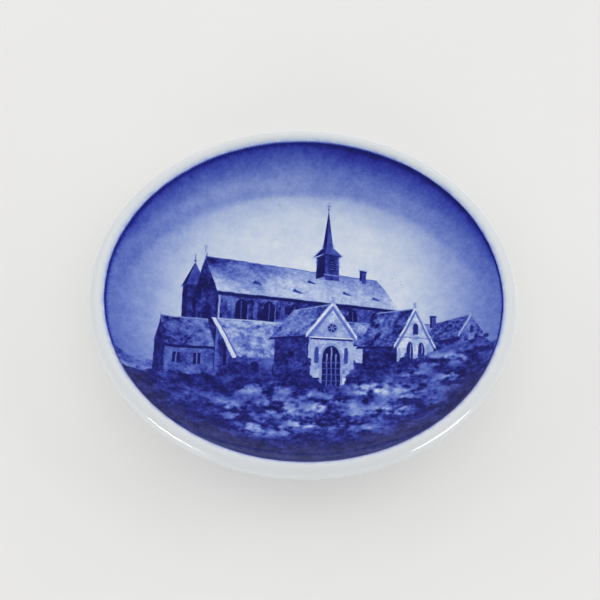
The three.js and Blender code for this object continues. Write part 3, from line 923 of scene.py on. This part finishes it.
# Lit crowns: where, how wide, how tall, how bright.
BLOBS = [
    (-9.2, -19.0, 2.2, 1.1, 0.34), (-4.0, -18.2, 3.0, 1.4, 0.40), (1.4, -19.4, 2.0, 1.1, 0.30), (-3.0, -23.0, 4.2, 1.7, 0.62), (-6.0, -28.6, 4.6, 1.8, 0.66), (-15.0, -22.4, 4.4, 1.5, 0.38),
    (3.4, -22.0, 1.5, 1.0, 0.62), (7.6, -21.2, 3.4, 1.6, 0.46), (6.4, -26.2, 4.4, 1.8, 0.50), (13.2, -17.8, 4.6, 1.6, 0.92), (20.4, -13.6, 3.2, 1.2, 0.50), (27.2, -11.2, 3.8, 1.6, 0.62), (21.6, -18.2, 4.2, 1.8, 0.52),
    (16.6, -22.8, 3.0, 2.2, 0.68), (10.8, -22.8, 3.2, 1.4, 0.36), (27.2, -15.6, 3.8, 1.4, 0.5), (24.6, -21.6, 3.2, 1.2, 0.40), (0.6, -26.6, 3.0, 1.3, 0.42), (12.6, -27.6, 3.4, 1.2, 0.36), (-21.0, -20.2, 3.2, 1.4, 0.26),
    (31.6, -10.6, 2.2, 1.0, 0.40), (-0.3, -12.6, 1.7, 1.5, 0.16), (-11.8, -14.0, 1.6, 1.4, 0.18), (-26.0, -21.0, 2.8, 1.2, 0.2), (-11.6, -25.6, 3.2, 1.2, 0.32), (17.8, -29.0, 2.4, 0.9, 0.2), (17.2, -25.4, 2.8, 1.0, 0.4),
]
for k in range(230):
    a, q = rng.uniform(0, 2 * math.pi), math.sqrt(rng.uniform(0, 1)) * 35
    x, y = q * math.cos(a), q * math.sin(a)
    if y > -10 or (y > -16.5 and x < 17):
        continue
    BLOBS.append((x, y, rng.uniform(0.7, 2.4), rng.uniform(0.35, 1.0), rng.uniform(-0.22, 0.34)))


def leaves(x, y):
    wx = x + 1.5 * fbm(x, y, 3.0, 61, 4)
    wy = y + 1.1 * fbm(x, y, 2.6, 62, 4)
    lit = np.zeros(x.shape)
    for bx, by, rx, ry, light in BLOBS:
        m = (np.abs(x - bx) < rx * 2.6) & (np.abs(y - by) < ry * 3.2)
        if not m.any():
            continue
        u, v = (wx[m] - bx) / rx, (wy[m] - by) / ry
        # Lit on top, falling off faster below.
        q = u * u + np.where(v > 0, v * v * 0.8, v * v * 1.5)
        lit[m] += light * np.exp(-q)
    lit = np.clip(0.15 + 1.30 * lit + 0.45 * fbm(x * 0.8, y * 1.2, 3.6, 60, 3), 0, 1.15)
    stroke = fbm(x * 0.6, y * 1.1, 1.6, 63, 4)
    leaf = fbm(x * 0.85, y * 1.1, 0.6, 65, 2)
    gate = smooth(stroke + 0.3 * leaf, -0.32, 0.30)
    ink = 0.955 - 0.70 * lit * gate - 0.04 * gate
    ink += 0.07 * stroke - 0.13 * leaf * (0.25 + lit)
    ink -= 0.06 * smooth(fbm(x, y, 0.55, 67, 2), 0.16, 0.36) * (0.3 + lit)
    return ink + (0.915 + 0.02 * smooth(np.hypot(x, y), 35.5, 36.5) + 0.18 * fbm(x, y, 0.8, 66, 2) + 0.18 * fbm(x, y, 2.6, 68, 3) - ink) * dim(x, y)


def dim(x, y):
    """How far the leaves have sunk into plain dark ground, at the lower edge and the left."""
    d = 0.85 * smooth(np.hypot(x, y) + 3.0 * fbm(x, y, 2.8, 72, 3), 31.8, 36.8) * smooth(-y, 11, 22)
    d = np.maximum(d, 0.85 * smooth(-y, 30.0, 33.2))
    d = np.maximum(d, 0.55 * smooth(-x, 9, 20))
    return np.maximum(d, 0.4 * smooth(y, -17.6, -15.6) * smooth(-x, -8, -4))


# Toward the lower edge the leaves get a negative third flow value. That paints in the greyer, more violet veil of the
# room reflected by the near side of the well.
paint(ragged(TREES, 0.3, 0.42, 70), leaves, (0, 0.55, 0), wash_and_painted_veil=lambda x, y: -(0.65 + 0.3 * smooth(-y, 24, 31)) * smooth(np.hypot(x, y) + 3.0 * fbm(x, y, 2.4, 71, 3) + 1.5 * smooth(-y, 24, 31), 31.5, 36.3) * smooth(-y, 11, 20))
# Loose sprays above the hedge.
for k, (x, y, r) in enumerate(((34.0, -7.2, 0.5), (32.6, -7.4, 0.35), (30.2, -6.8, 0.4), (25.6, -7.9, 0.7), (19.6, -9.8, 0.7), (22.2, -9.7, 0.6), (27.0, -7.6, 0.5), (-13.0, -12.3, 0.5), (-10.6, -11.3, 0.5), (-1.9, -11.6, 0.6), (0.3, -9.5, 0.6), (1.3, -11.6, 0.4), (9.6, -14.0, 0.7), (-25.6, -15.8, 0.5), (-29.9, -16.9, 0.4))):
    paint(ragged(disc(x, y, r, 10), 0.2, 0.34, 80 + k), mottled(0.84, 0.22, 0.7, 81 + k), (0, 0.6, 0))
# A few specks of ink that strayed into the sky.
for k in range(16):
    a, q = rng.uniform(0.02, math.pi - 0.02), rng.uniform(14, 34)
    paint(disc(q * math.cos(a), max(q * math.sin(a), 1.0) + 6 * math.exp(-q / 12), rng.uniform(0.06, 0.15), 7), 0.55)


# Pinholes where the ink did not take.
for k in range(34):
    a, q = rng.uniform(0, 2 * math.pi), 34.5 * math.sqrt(rng.uniform(0, 1))
    x, y = q * math.cos(a), q * math.sin(a)
    if y < -14 or y > 8:
        paint(disc(x, y, rng.uniform(0.05, 0.11), 6), 0.5 if y < 0 else 0.2)


def build_picture(name):
    """Fits all outlines and a fine grid of points into one triangulated sheet that lies on the well, and stores
    on its corners how much ink each takes. The sheet is closed: it has sides and an underside."""
    n_edge = SEGMENTS
    rim = [(R_PICTURE * math.sin(2 * math.pi * k / n_edge), R_PICTURE * math.cos(2 * math.pi * k / n_edge)) for k in range(n_edge)]
    pts, faces = list(rim), [list(range(n_edge - 1, -1, -1))]
    for outline, *_ in layers[1:]:
        start = len(pts)
        turn = sum(a[0] * b[1] - b[0] * a[1] for a, b in zip(outline, outline[1:] + outline[:1]))
        pts += [(float(x), float(y)) for x, y in (outline if turn > 0 else outline[::-1])]
        faces.append(list(range(start, start + len(outline))))
    # Grid: fine where there is drawing, wider in the open sky.
    grid = []

    def hexgrid(step, keep):
        rows = int(38 / (step * 0.866)) + 1
        cols = int(38 / step) + 1
        j, i = np.mgrid[-rows : rows + 1, -cols : cols + 1]
        gx = (i + 0.5 * (j % 2)) * step
        gy = j * step * 0.866
        gx, gy = gx.ravel(), gy.ravel()
        ok = (np.hypot(gx, gy) < R_PICTURE - 0.5) & keep(gx, gy)
        grid.extend(zip(gx[ok].tolist(), gy[ok].tolist()))

    def busy(x, y):
        skyline = np.interp(x, [-38, -29, -27.6, -26.6, -25, -23.6, -22.5, -20, -18, 0, 19, 22, 30, 34, 38], [-15, -15, -4, 1, 8, 9, 10, 13, 13, 10.5, 8.5, 4.5, 2.5, -5, -7])
        return (y < skyline) & (y > -39)

    dull = lambda x, y: (y < -31) | (np.hypot(x, y) > 35.6)
    hexgrid(0.23, lambda x, y: busy(x, y) & ~dull(x, y))
    hexgrid(0.36, lambda x, y: busy(x, y) & dull(x, y))
    hexgrid(0.56, lambda x, y: ~busy(x, y))
    for k in range(3 * n_edge):
        r, a = R_PICTURE - 0.13 * (1 + k % 3), 2 * math.pi * (k + 0.5) / (3 * n_edge)
        grid.append((r * math.sin(a), r * math.cos(a)))
    pts += grid
    vs, es, fs, _, _, owner = delaunay_2d_cdt([Vector(p) for p in pts], [], faces, 0, 1e-5, True)
    xy = np.array([(v.x, v.y) for v in vs])
    keep = [i for i, o in enumerate(owner) if 0 in o]
    tris = np.array([fs[i] for i in keep])
    region = np.array([max(owner[i]) for i in keep])
    # All triangles face up.
    a, b, c = xy[tris[:, 0]], xy[tris[:, 1]], xy[tris[:, 2]]
    area = (b[:, 0] - a[:, 0]) * (c[:, 1] - a[:, 1]) - (b[:, 1] - a[:, 1]) * (c[:, 0] - a[:, 0])
    tris[area < 0] = tris[area < 0][:, ::-1]
    good = np.abs(area) > 1e-9
    tris, region = tris[good], region[good]
    used, flat = np.unique(tris, return_inverse=True)
    tris = flat.reshape(-1, 3)
    xy = xy[used]
    nt = len(tris)
    ink, kind, flow = np.zeros((nt, 3)), np.zeros((nt, 3, 3)), np.zeros((nt, 3, 3))
    for k, (outline, shade, kd, fl, wash_and_painted_veil) in enumerate(layers):
        m = region == k
        if not m.any():
            continue
        cx, cy = xy[tris[m]][..., 0], xy[tris[m]][..., 1]
        shape = cx.shape
        cx, cy = cx.ravel(), cy.ravel()
        ink[m] = np.clip(shade(cx, cy), 0, 1).reshape(shape)
        kind[m] = kd
        u, v = fl(cx, cy) if fl else (cx / 1.4, cy / 1.4)
        flow[m] = np.stack([u, v, wash_and_painted_veil(cx, cy) if callable(wash_and_painted_veil) else np.full(u.shape, wash_and_painted_veil)], -1).reshape(shape + (3,))
    # Printed edges are soft: blend each corner's ink with its neighbours' around the same point.
    weight = np.repeat(np.abs(area[good]), 3)
    mean = np.bincount(tris.ravel(), weight * ink.ravel()) / np.bincount(tris.ravel(), weight)
    spread = np.bincount(tris.ravel(), weight * np.repeat(mean[tris].mean(1), 3)) / np.bincount(tris.ravel(), weight)
    ink = 0.28 * ink + 0.42 * mean[tris] + 0.30 * spread[tris]
    # Underside: the same edge, a few points inside it.
    count = {}
    for t in tris:
        for i in range(3):
            p, q = int(t[i]), int(t[(i + 1) % 3])
            count[(p, q)] = 1
    border = {p: q for (p, q) in count if (q, p) not in count}
    loop = [next(iter(border))]
    while border[loop[-1]] != loop[0]:
        loop.append(border[loop[-1]])
    bx = [tuple(xy[i]) for i in loop]
    inside = [(r * math.sin(2 * math.pi * k / n), r * math.cos(2 * math.pi * k / n)) for r, n in ((34.5, 60), (31, 60), (27.5, 60), (25, 48), (23.5, 48), (15, 24)) for k in range(n)] + [(0.0, 0.0)]
    vs2, _, fs2, orig2, _, own2 = delaunay_2d_cdt([Vector(p) for p in bx + inside], [], [list(range(len(bx)))], 0, 1e-6, True)
    low = np.array([(v.x, v.y) for v in vs2])
    back = {o: i for i, os in enumerate(orig2) for o in os}
    low_tris = []
    for f, o in zip(fs2, own2):
        if not o:
            continue
        p, q, s = (low[i] for i in f)
        if (q[0] - p[0]) * (s[1] - p[1]) - (q[1] - p[1]) * (s[0] - p[0]) > 0:
            f = f[::-1]
        low_tris.append([i + len(xy) for i in f])
    depth = GLAZE - 0.01
    r = np.hypot(xy[:, 0], xy[:, 1])
    z, s = well(r)
    rl = np.hypot(low[:, 0], low[:, 1])
    zl, sl = well(rl)
    top = np.c_[xy * MM, z * MM]
    bottom = np.c_[low * MM, (zl - depth / np.sqrt(np.maximum(1 - sl * sl, 0.1))) * MM]
    sides = []
    for i, p in enumerate(loop):
        q = loop[(i + 1) % len(loop)]
        sides.append((q, p, len(xy) + back[i], len(xy) + back[(i + 1) % len(loop)]))
    mesh = bpy.data.meshes.new(name)
    mesh.from_pydata(np.r_[top, bottom].tolist(), [], tris.tolist() + sides + low_tris)
    mesh.polygons.foreach_set("use_smooth", [True] * len(mesh.polygons))
    mesh.update()
    rr = np.maximum(r, 1e-6)
    n_top = np.c_[-xy[:, 0] / rr * s, -xy[:, 1] / rr * s, np.sqrt(1 - s * s)]
    normals = [tuple(n_top[i]) for i in tris.ravel()]
    for p4 in sides:
        for i in p4:
            px, py = (xy[i] if i < len(xy) else low[i - len(xy)])
            d = math.hypot(px, py)
            normals.append((px / d, py / d, 0.0))
    normals += [(0.0, 0.0, -1.0)] * (3 * len(low_tris))
    mesh.normals_split_custom_set(normals)
    rest = len(mesh.loops) - 3 * nt
    for label, data, size in (("ink", ink, 1), ("kind", kind, 3), ("flow", flow, 3)):
        attr = mesh.attributes.new(label, "FLOAT" if size == 1 else "FLOAT_VECTOR", "CORNER")
        values = np.r_[data.reshape(-1, size), np.tile([0.5] + [0.0] * (size - 1) if size == 1 else [0.0] * 3, (rest, 1))]
        attr.data.foreach_set("value" if size == 1 else "vector", values.astype(np.float32).ravel())
    print("picture:", len(mesh.vertices), "vertices", len(mesh.polygons), "faces", len(layers), "outlines")
    return collection_link(bpy.data.objects.new(name, mesh))


# ------------------------------------------------------------------ pieces
porcelain = porcelain_material("glazed_porcelain")
biscuit = biscuit_material()
print_ink = ink_material("cobalt_print")
line_under_glaze = porcelain_material("cobalt_line_under_glaze")

CEIL = RECESS_Z + GLAZE
EDGE_A = WALL_END - math.degrees(0.5 / (WALL_R + GLAZE))  # slope where the picture ends
LINE_OUT = 109.0  # place on the lip, in degrees, where the fading edge of the line ends


def front_stretch(depth, n=1):
    """The well from its centre to the picture's edge."""
    flat = [((r, FLOOR_Z - depth), (0, 1)) for r in (0, 6, 12, 18, FLOOR_R)]
    return flat + [fillet(a, depth) for a in span(0, FILLET_END, 6)][1:] + [wall(a, depth) for a in span(FILLET_END, EDGE_A, 12)][1:]


def lip_stretch(start, depth, step=3.0):
    n = int(round((start + 57) / step))
    return [lip(a, depth) for a in span(start, -57.0, n)]


def back_stretch(depth):
    out = []
    for a in span(WALL_END, FILLET_END + 1.2, 14):
        p, n = wall(a, 2 * LIP_R - depth)
        out.append((p, (-n[0], -n[1])))
    return out


# Outside of the foot ring: the back sweeps down into it, and the glaze ends just above the bare edge.
def foot_outside(depth):
    p, n = wall(FILLET_END + 1.2, 2 * LIP_R - depth)
    d = GLAZE - depth
    top = (26.28 + 0.9 * d, 1.75)
    bend = rounded(p, (26.42 + d, 2.42 - 0.6 * d), top, 8)
    return bend, top


def proud(points, gap=0.01):
    """The same stretch, a hair off the surface it covers."""
    return [((p[0] + gap * n[0], p[1] + gap * n[1]), n) for p, n in points]


bend_body, top_body = foot_outside(GLAZE)
bend_glaze, top_glaze = foot_outside(0.0)

# Bare blank. Its faces under the glaze are hidden; its foot shows.
body_section = [
    front_stretch(GLAZE),
    [wall(a, GLAZE) for a in span(EDGE_A, WALL_END, 2)] + [lip(a, GLAZE) for a in span(123, -57, 36)][1:],
    back_stretch(GLAZE),
    bend_body,
    straight(top_body, (25.8, 0.42)),
    rounded((25.8, 0.42), (25.7, 0.0), (25.35, 0.0), 5),
    straight((25.35, 0.0), (23.85, 0.0)),
    rounded((23.85, 0.0), (23.5, 0.0), (23.42, 0.42), 5),
    straight((23.42, 0.42), (23.18, 1.9)),
    rounded((23.18, 1.9), (23.0, CEIL), (22.2, CEIL), 6),
    straight((22.2, CEIL), (0.0, CEIL)),
]
plate_blank = turned("porcelain_blank", body_section)

# Glaze over the lip and the back, from the banded line to the bare edge of the foot.
g_top = [lip(a, 0.0) for a in span(LINE_OUT, 80, 16)] + [lip(a, 0.0) for a in span(80, -57, 48)][1:]
g_under = [lip(a, GLAZE - 0.01) for a in span(LINE_OUT, -57, 40)]
glaze_end = (26.02, 0.5)
glaze_section = [
    g_top,
    back_stretch(0.0),
    bend_glaze,
    straight(top_glaze, (26.08, 0.66)),
    rounded((26.08, 0.66), glaze_end, (25.86, 0.48), 4),
    straight((25.86, 0.48), (top_body[0] + 0.01, top_body[1])),
    inner(proud(bend_body)),
    inner(proud(back_stretch(GLAZE))),
    inner(g_under),
    straight(g_under[0][0], g_top[0][0]),
]
lip_glaze = turned("lip_and_back_glaze", glaze_section)

# The banded line: dark ink that feathers out on to the white of the lip.
line_top = [wall(a) for a in span(EDGE_A, WALL_END, 8)] + [lip(a) for a in span(123, LINE_OUT, 7)][1:]
line_low = [wall(a, GLAZE - 0.01) for a in span(EDGE_A, WALL_END, 8)] + [lip(a, GLAZE - 0.01) for a in span(123, LINE_OUT, 7)][1:]
banded_line = turned(
    "banded_line",
    [line_top, straight(line_top[-1][0], line_low[-1][0]), inner(line_low), straight(line_low[0][0], line_top[0][0])],
    SEGMENTS,
)

# Inside the foot ring.
recess_top = [((0.0, RECESS_Z), (0, -1)), ((3.0, RECESS_Z), (0, -1))]
base_section = [
    straight((0.0, CEIL - 0.01), (22.15, CEIL - 0.01)),
    [(p, (-n[0], -n[1])) for p, n in reversed([((p[0] - 0.01, p[1]), n) for p, n in rounded((23.18, 1.9), (23.0, CEIL - 0.01), (22.15, CEIL - 0.01), 6)])],
    straight((23.17, 1.9), (23.41, 0.5)),
    straight((23.41, 0.5), (23.2, 0.56)),
    straight((23.2, 0.56), (22.95, 1.85)),
    rounded((22.95, 1.85), (22.8, RECESS_Z), (21.9, RECESS_Z), 6),
    straight((21.9, RECESS_Z), (4.4, RECESS_Z), 3),
    straight((4.4, RECESS_Z), (2.8, RECESS_Z), 1),
    straight((2.8, RECESS_Z), (0.0, RECESS_Z), 1),
]
base_glaze = turned("base_glaze", base_section)

# Back mark: a plain ring, printed and glazed over.
back_mark = turned(
    "back_mark",
    [
        [((3.0, RECESS_Z + 0.03), (0, 1)), ((4.2, RECESS_Z + 0.03), (0, 1))],
        straight((4.2, RECESS_Z + 0.03), (4.2, RECESS_Z - 0.012)),
        [((4.2, RECESS_Z - 0.012), (0, -1)), ((3.9, RECESS_Z - 0.012), (0, -1)), ((3.6, RECESS_Z - 0.012), (0, -1)), ((3.3, RECESS_Z - 0.012), (0, -1)), ((3.0, RECESS_Z - 0.012), (0, -1))],
        straight((3.0, RECESS_Z - 0.012), (3.0, RECESS_Z + 0.03)),
    ],
)

# Hanging holes through the foot ring, on the side of the picture's top.
drills = []
for x in (-8.0, 8.0):
    y = math.sqrt(24.6**2 - x * x)
    bm = bmesh.new()
    bmesh.ops.create_cone(bm, cap_ends=True, segments=40, radius1=0.7 * MM, radius2=0.7 * MM, depth=8 * MM)
    mesh = bpy.data.meshes.new("drill")
    bm.to_mesh(mesh)
    bm.free()
    d = collection_link(bpy.data.objects.new("drill", mesh))
    direction = Vector((x, y, 0)).normalized()
    d.matrix_world = Matrix.Translation(Vector((x, y, 1.35)) * MM) @ direction.to_track_quat("Z", "Y").to_matrix().to_4x4()
    drills.append(d)
bpy.context.view_layer.update()
for piece in (plate_blank, lip_glaze, base_glaze):
    pierce(piece, drills)
for d in drills:
    bpy.data.objects.remove(d, do_unlink=True)

picture = build_picture("picture")


def ink_on(obj, shade, kind=(0, 0, 0), above=-1.0):
    """Stores ink on a turned piece, from a function of x and y in millimetres, where it is higher than `above`."""
    mesh = obj.data
    co = np.zeros(len(mesh.vertices) * 3)
    mesh.vertices.foreach_get("co", co)
    co = co.reshape(-1, 3) / MM
    values = np.clip(shade(co[:, 0], co[:, 1]), 0, 1) * (co[:, 2] > above)
    attr = mesh.attributes.new("ink", "FLOAT", "POINT")
    attr.data.foreach_set("value", values.astype(np.float32))
    attr = mesh.attributes.new("kind", "FLOAT_VECTOR", "POINT")
    attr.data.foreach_set("vector", np.tile(kind, (len(co), 1)).astype(np.float32).ravel())
    attr = mesh.attributes.new("flow", "FLOAT_VECTOR", "POINT")
    # The third flow value falls to 0 low on the plate. There the banded line takes the greyer, more violet tones of a
    # painted reflection.
    wash_and_painted_veil = smooth(co[:, 1], -18, -8)
    attr.data.foreach_set("vector", np.c_[co[:, 0], co[:, 1], wash_and_painted_veil].astype(np.float32).ravel())


def band_ink(x, y):
    """The line at the border: the ground runs up to it, and it bleeds out on to the white of the lip."""
    t = past_border(x, y)
    ink = np.where(y > -11, sky(x, y), 0.94 * fade(x, y))
    bleed = 0.34 * np.exp(-np.maximum(t, 0) / 0.27) * (1 + 1.2 * fbm(x, y, 0.9, 93, 3)) + 0.05 * np.exp(-np.maximum(t, 0) / 0.9)
    return np.maximum(ink, bleed * smooth(t, -0.2, 0.05))


ink_on(banded_line, band_ink)
ink_on(lip_glaze, band_ink, above=LIP_Z + 0.4)
ink_on(back_mark, lambda x, y: 0.8 + 0.25 * fbm(x, y, 0.8, 95, 3))

for piece, node, slot, material in (
    (plate_blank, "porcelain_body", "bare_porcelain", biscuit),
    (picture, "picture_transfer", "cobalt_print", print_ink),
    (banded_line, "border_line", "cobalt_line", line_under_glaze),
    (lip_glaze, "front_glaze", "clear_glaze", porcelain),
    (base_glaze, "base_glaze", "clear_glaze", porcelain),
    (back_mark, "back_mark", "cobalt_line", print_ink),
):
    piece.data.materials.clear()
    piece.data.materials.append(material)
    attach(piece, "root")
    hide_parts(node)

# ------------------------------------------------------------------ floor and backdrop
bm = bmesh.new()
bmesh.ops.create_grid(bm, x_segments=8, y_segments=8, size=1.7)
mesh = bpy.data.meshes.new("floor")
bm.to_mesh(mesh)
bm.free()
floor = collection_link(bpy.data.objects.new("floor", mesh))
n = Nodes("floor_stone")
place = n.place()
n.link(n.mix(n.remap(n.noise(place, 14.0, 4.0, 0.6), 0.3, 0.75), (0.585, 0.581, 0.572, 1), (0.562, 0.557, 0.549, 1)), n.shader.inputs["Base Color"])
n.shader.inputs["Roughness"].default_value = 0.6
n.shader.inputs["Specular IOR Level"].default_value = 0.0
# A translucent table, lit faintly from below as well, so that the plate's own shadow stays light.
n.shader.inputs["Emission Color"].default_value = (1.0, 0.995, 0.985, 1)
n.shader.inputs["Emission Strength"].default_value = 0.27
floor.data.materials.append(n.material)

# Pale sweep all round, behind the lights, so that a low view ends in the same tone as the floor.
verts, faces = [], []
wall_profile = [(1.55, -0.002)] + [(1.55 + 0.45 * math.sin(rad(t)), 0.45 * (1 - math.cos(rad(t)))) for t in span(10, 90, 8)] + [(2.0, 2.2)]
for r, z in wall_profile:
    verts += [(r * math.cos(2 * math.pi * k / 96), r * math.sin(2 * math.pi * k / 96), z) for k in range(96)]
for i in range(len(wall_profile) - 1):
    faces += [(i * 96 + k, i * 96 + (k + 1) % 96, (i + 1) * 96 + (k + 1) % 96, (i + 1) * 96 + k) for k in range(96)]
mesh = bpy.data.meshes.new("backdrop")
mesh.from_pydata(verts, [], faces)
mesh.polygons.foreach_set("use_smooth", [True] * len(mesh.polygons))
backdrop = collection_link(bpy.data.objects.new("backdrop", mesh))
n = Nodes("backdrop_paper")
n.shader.inputs["Base Color"].default_value = (0.0, 0.0, 0.0, 1)
n.shader.inputs["Specular IOR Level"].default_value = 0.0
n.shader.inputs["Roughness"].default_value = 1.0
n.shader.inputs["Emission Color"].default_value = (1.0, 0.997, 0.985, 1)
n.shader.inputs["Emission Strength"].default_value = 0.80
backdrop.data.materials.append(n.material)
for ray in ("visible_glossy", "visible_diffuse", "visible_shadow", "visible_transmission", "visible_volume_scatter"):
    setattr(backdrop, ray, False)

# ------------------------------------------------------------------ camera
ELEVATION, ROLL, DISTANCE = rad(53.41), rad(1.83), 516 * MM
PX_PER_M = 5372.2
target = Vector((0, 0, LIP_Z * MM))
toward = Vector((0, math.cos(ELEVATION), -math.sin(ELEVATION)))
right_w = Vector((1, 0, 0))
up_w = right_w.cross(toward)
right_c = right_w * math.cos(ROLL) + up_w * math.sin(ROLL)
up_c = up_w * math.cos(ROLL) - right_w * math.sin(ROLL)
offset = -right_c * (3.3 / PX_PER_M) - up_c * (2.45 / PX_PER_M)
eye = target - toward * DISTANCE + offset
cam_data = bpy.data.cameras.new("camera")
cam_data.sensor_width = 36
cam_data.lens = PX_PER_M * DISTANCE * 36 / 600
cam_data.clip_start, cam_data.clip_end = 0.01, 10
camera = collection_link(bpy.data.objects.new("camera", cam_data))
camera.matrix_world = Matrix((right_c, up_c, -toward)).transposed().to_4x4()
camera.location = eye
scene.camera = camera

# ------------------------------------------------------------------ light
scene.view_settings.view_transform = "Standard"
scene.view_settings.look = "None"
world = bpy.data.worlds.new("world")
scene.world = world
world.use_nodes = True
world.node_tree.nodes["Background"].inputs[0].default_value = (0.95, 0.975, 1.0, 1)
world.node_tree.nodes["Background"].inputs[1].default_value = 0.17


def softbox(name, azimuth, elevation, distance, width, height, power, colour=(1, 1, 1), mirrored=True, lights=True):
    data = bpy.data.lights.new(name, "AREA")
    data.shape = "ELLIPSE"
    data.size, data.size_y, data.energy, data.color = width, height, power, colour
    obj = collection_link(bpy.data.objects.new(name, data))
    a, e = rad(azimuth), rad(elevation)
    obj.location = Vector((math.cos(a) * math.cos(e), math.sin(a) * math.cos(e), math.sin(e))) * distance
    obj.rotation_euler = (-obj.location).to_track_quat("-Z", "Y").to_euler()
    obj.visible_glossy = mirrored
    obj.visible_diffuse = lights
    return obj


# Wide soft light overhead and pale walls all round, polarised so that they leave no sheet of glare on the glaze.
softbox("overhead_soft", 90, 86, 0.95, 2.3, 2.3, 9.05, (1.0, 0.998, 0.99), mirrored=False)
for name, azimuth, power in (("front_wall", 268, 20.5), ("left_wall", 162, 19.0), ("right_wall", 22, 24.0), ("back_wall", 90, 17.0)):
    softbox(name, azimuth, 20, 2.4, 3.0, 1.4, power, (1.0, 0.998, 0.99), mirrored=False)
# Two small strips low in front, left and right: their lines run along the near side of the lip.
softbox("left_softbox", 217, 12.5, 1.0, 0.52, 0.08, 5.3, lights=False)
softbox("right_softbox", 333.5, 11.0, 1.0, 0.54, 0.10, 4.5, lights=False)
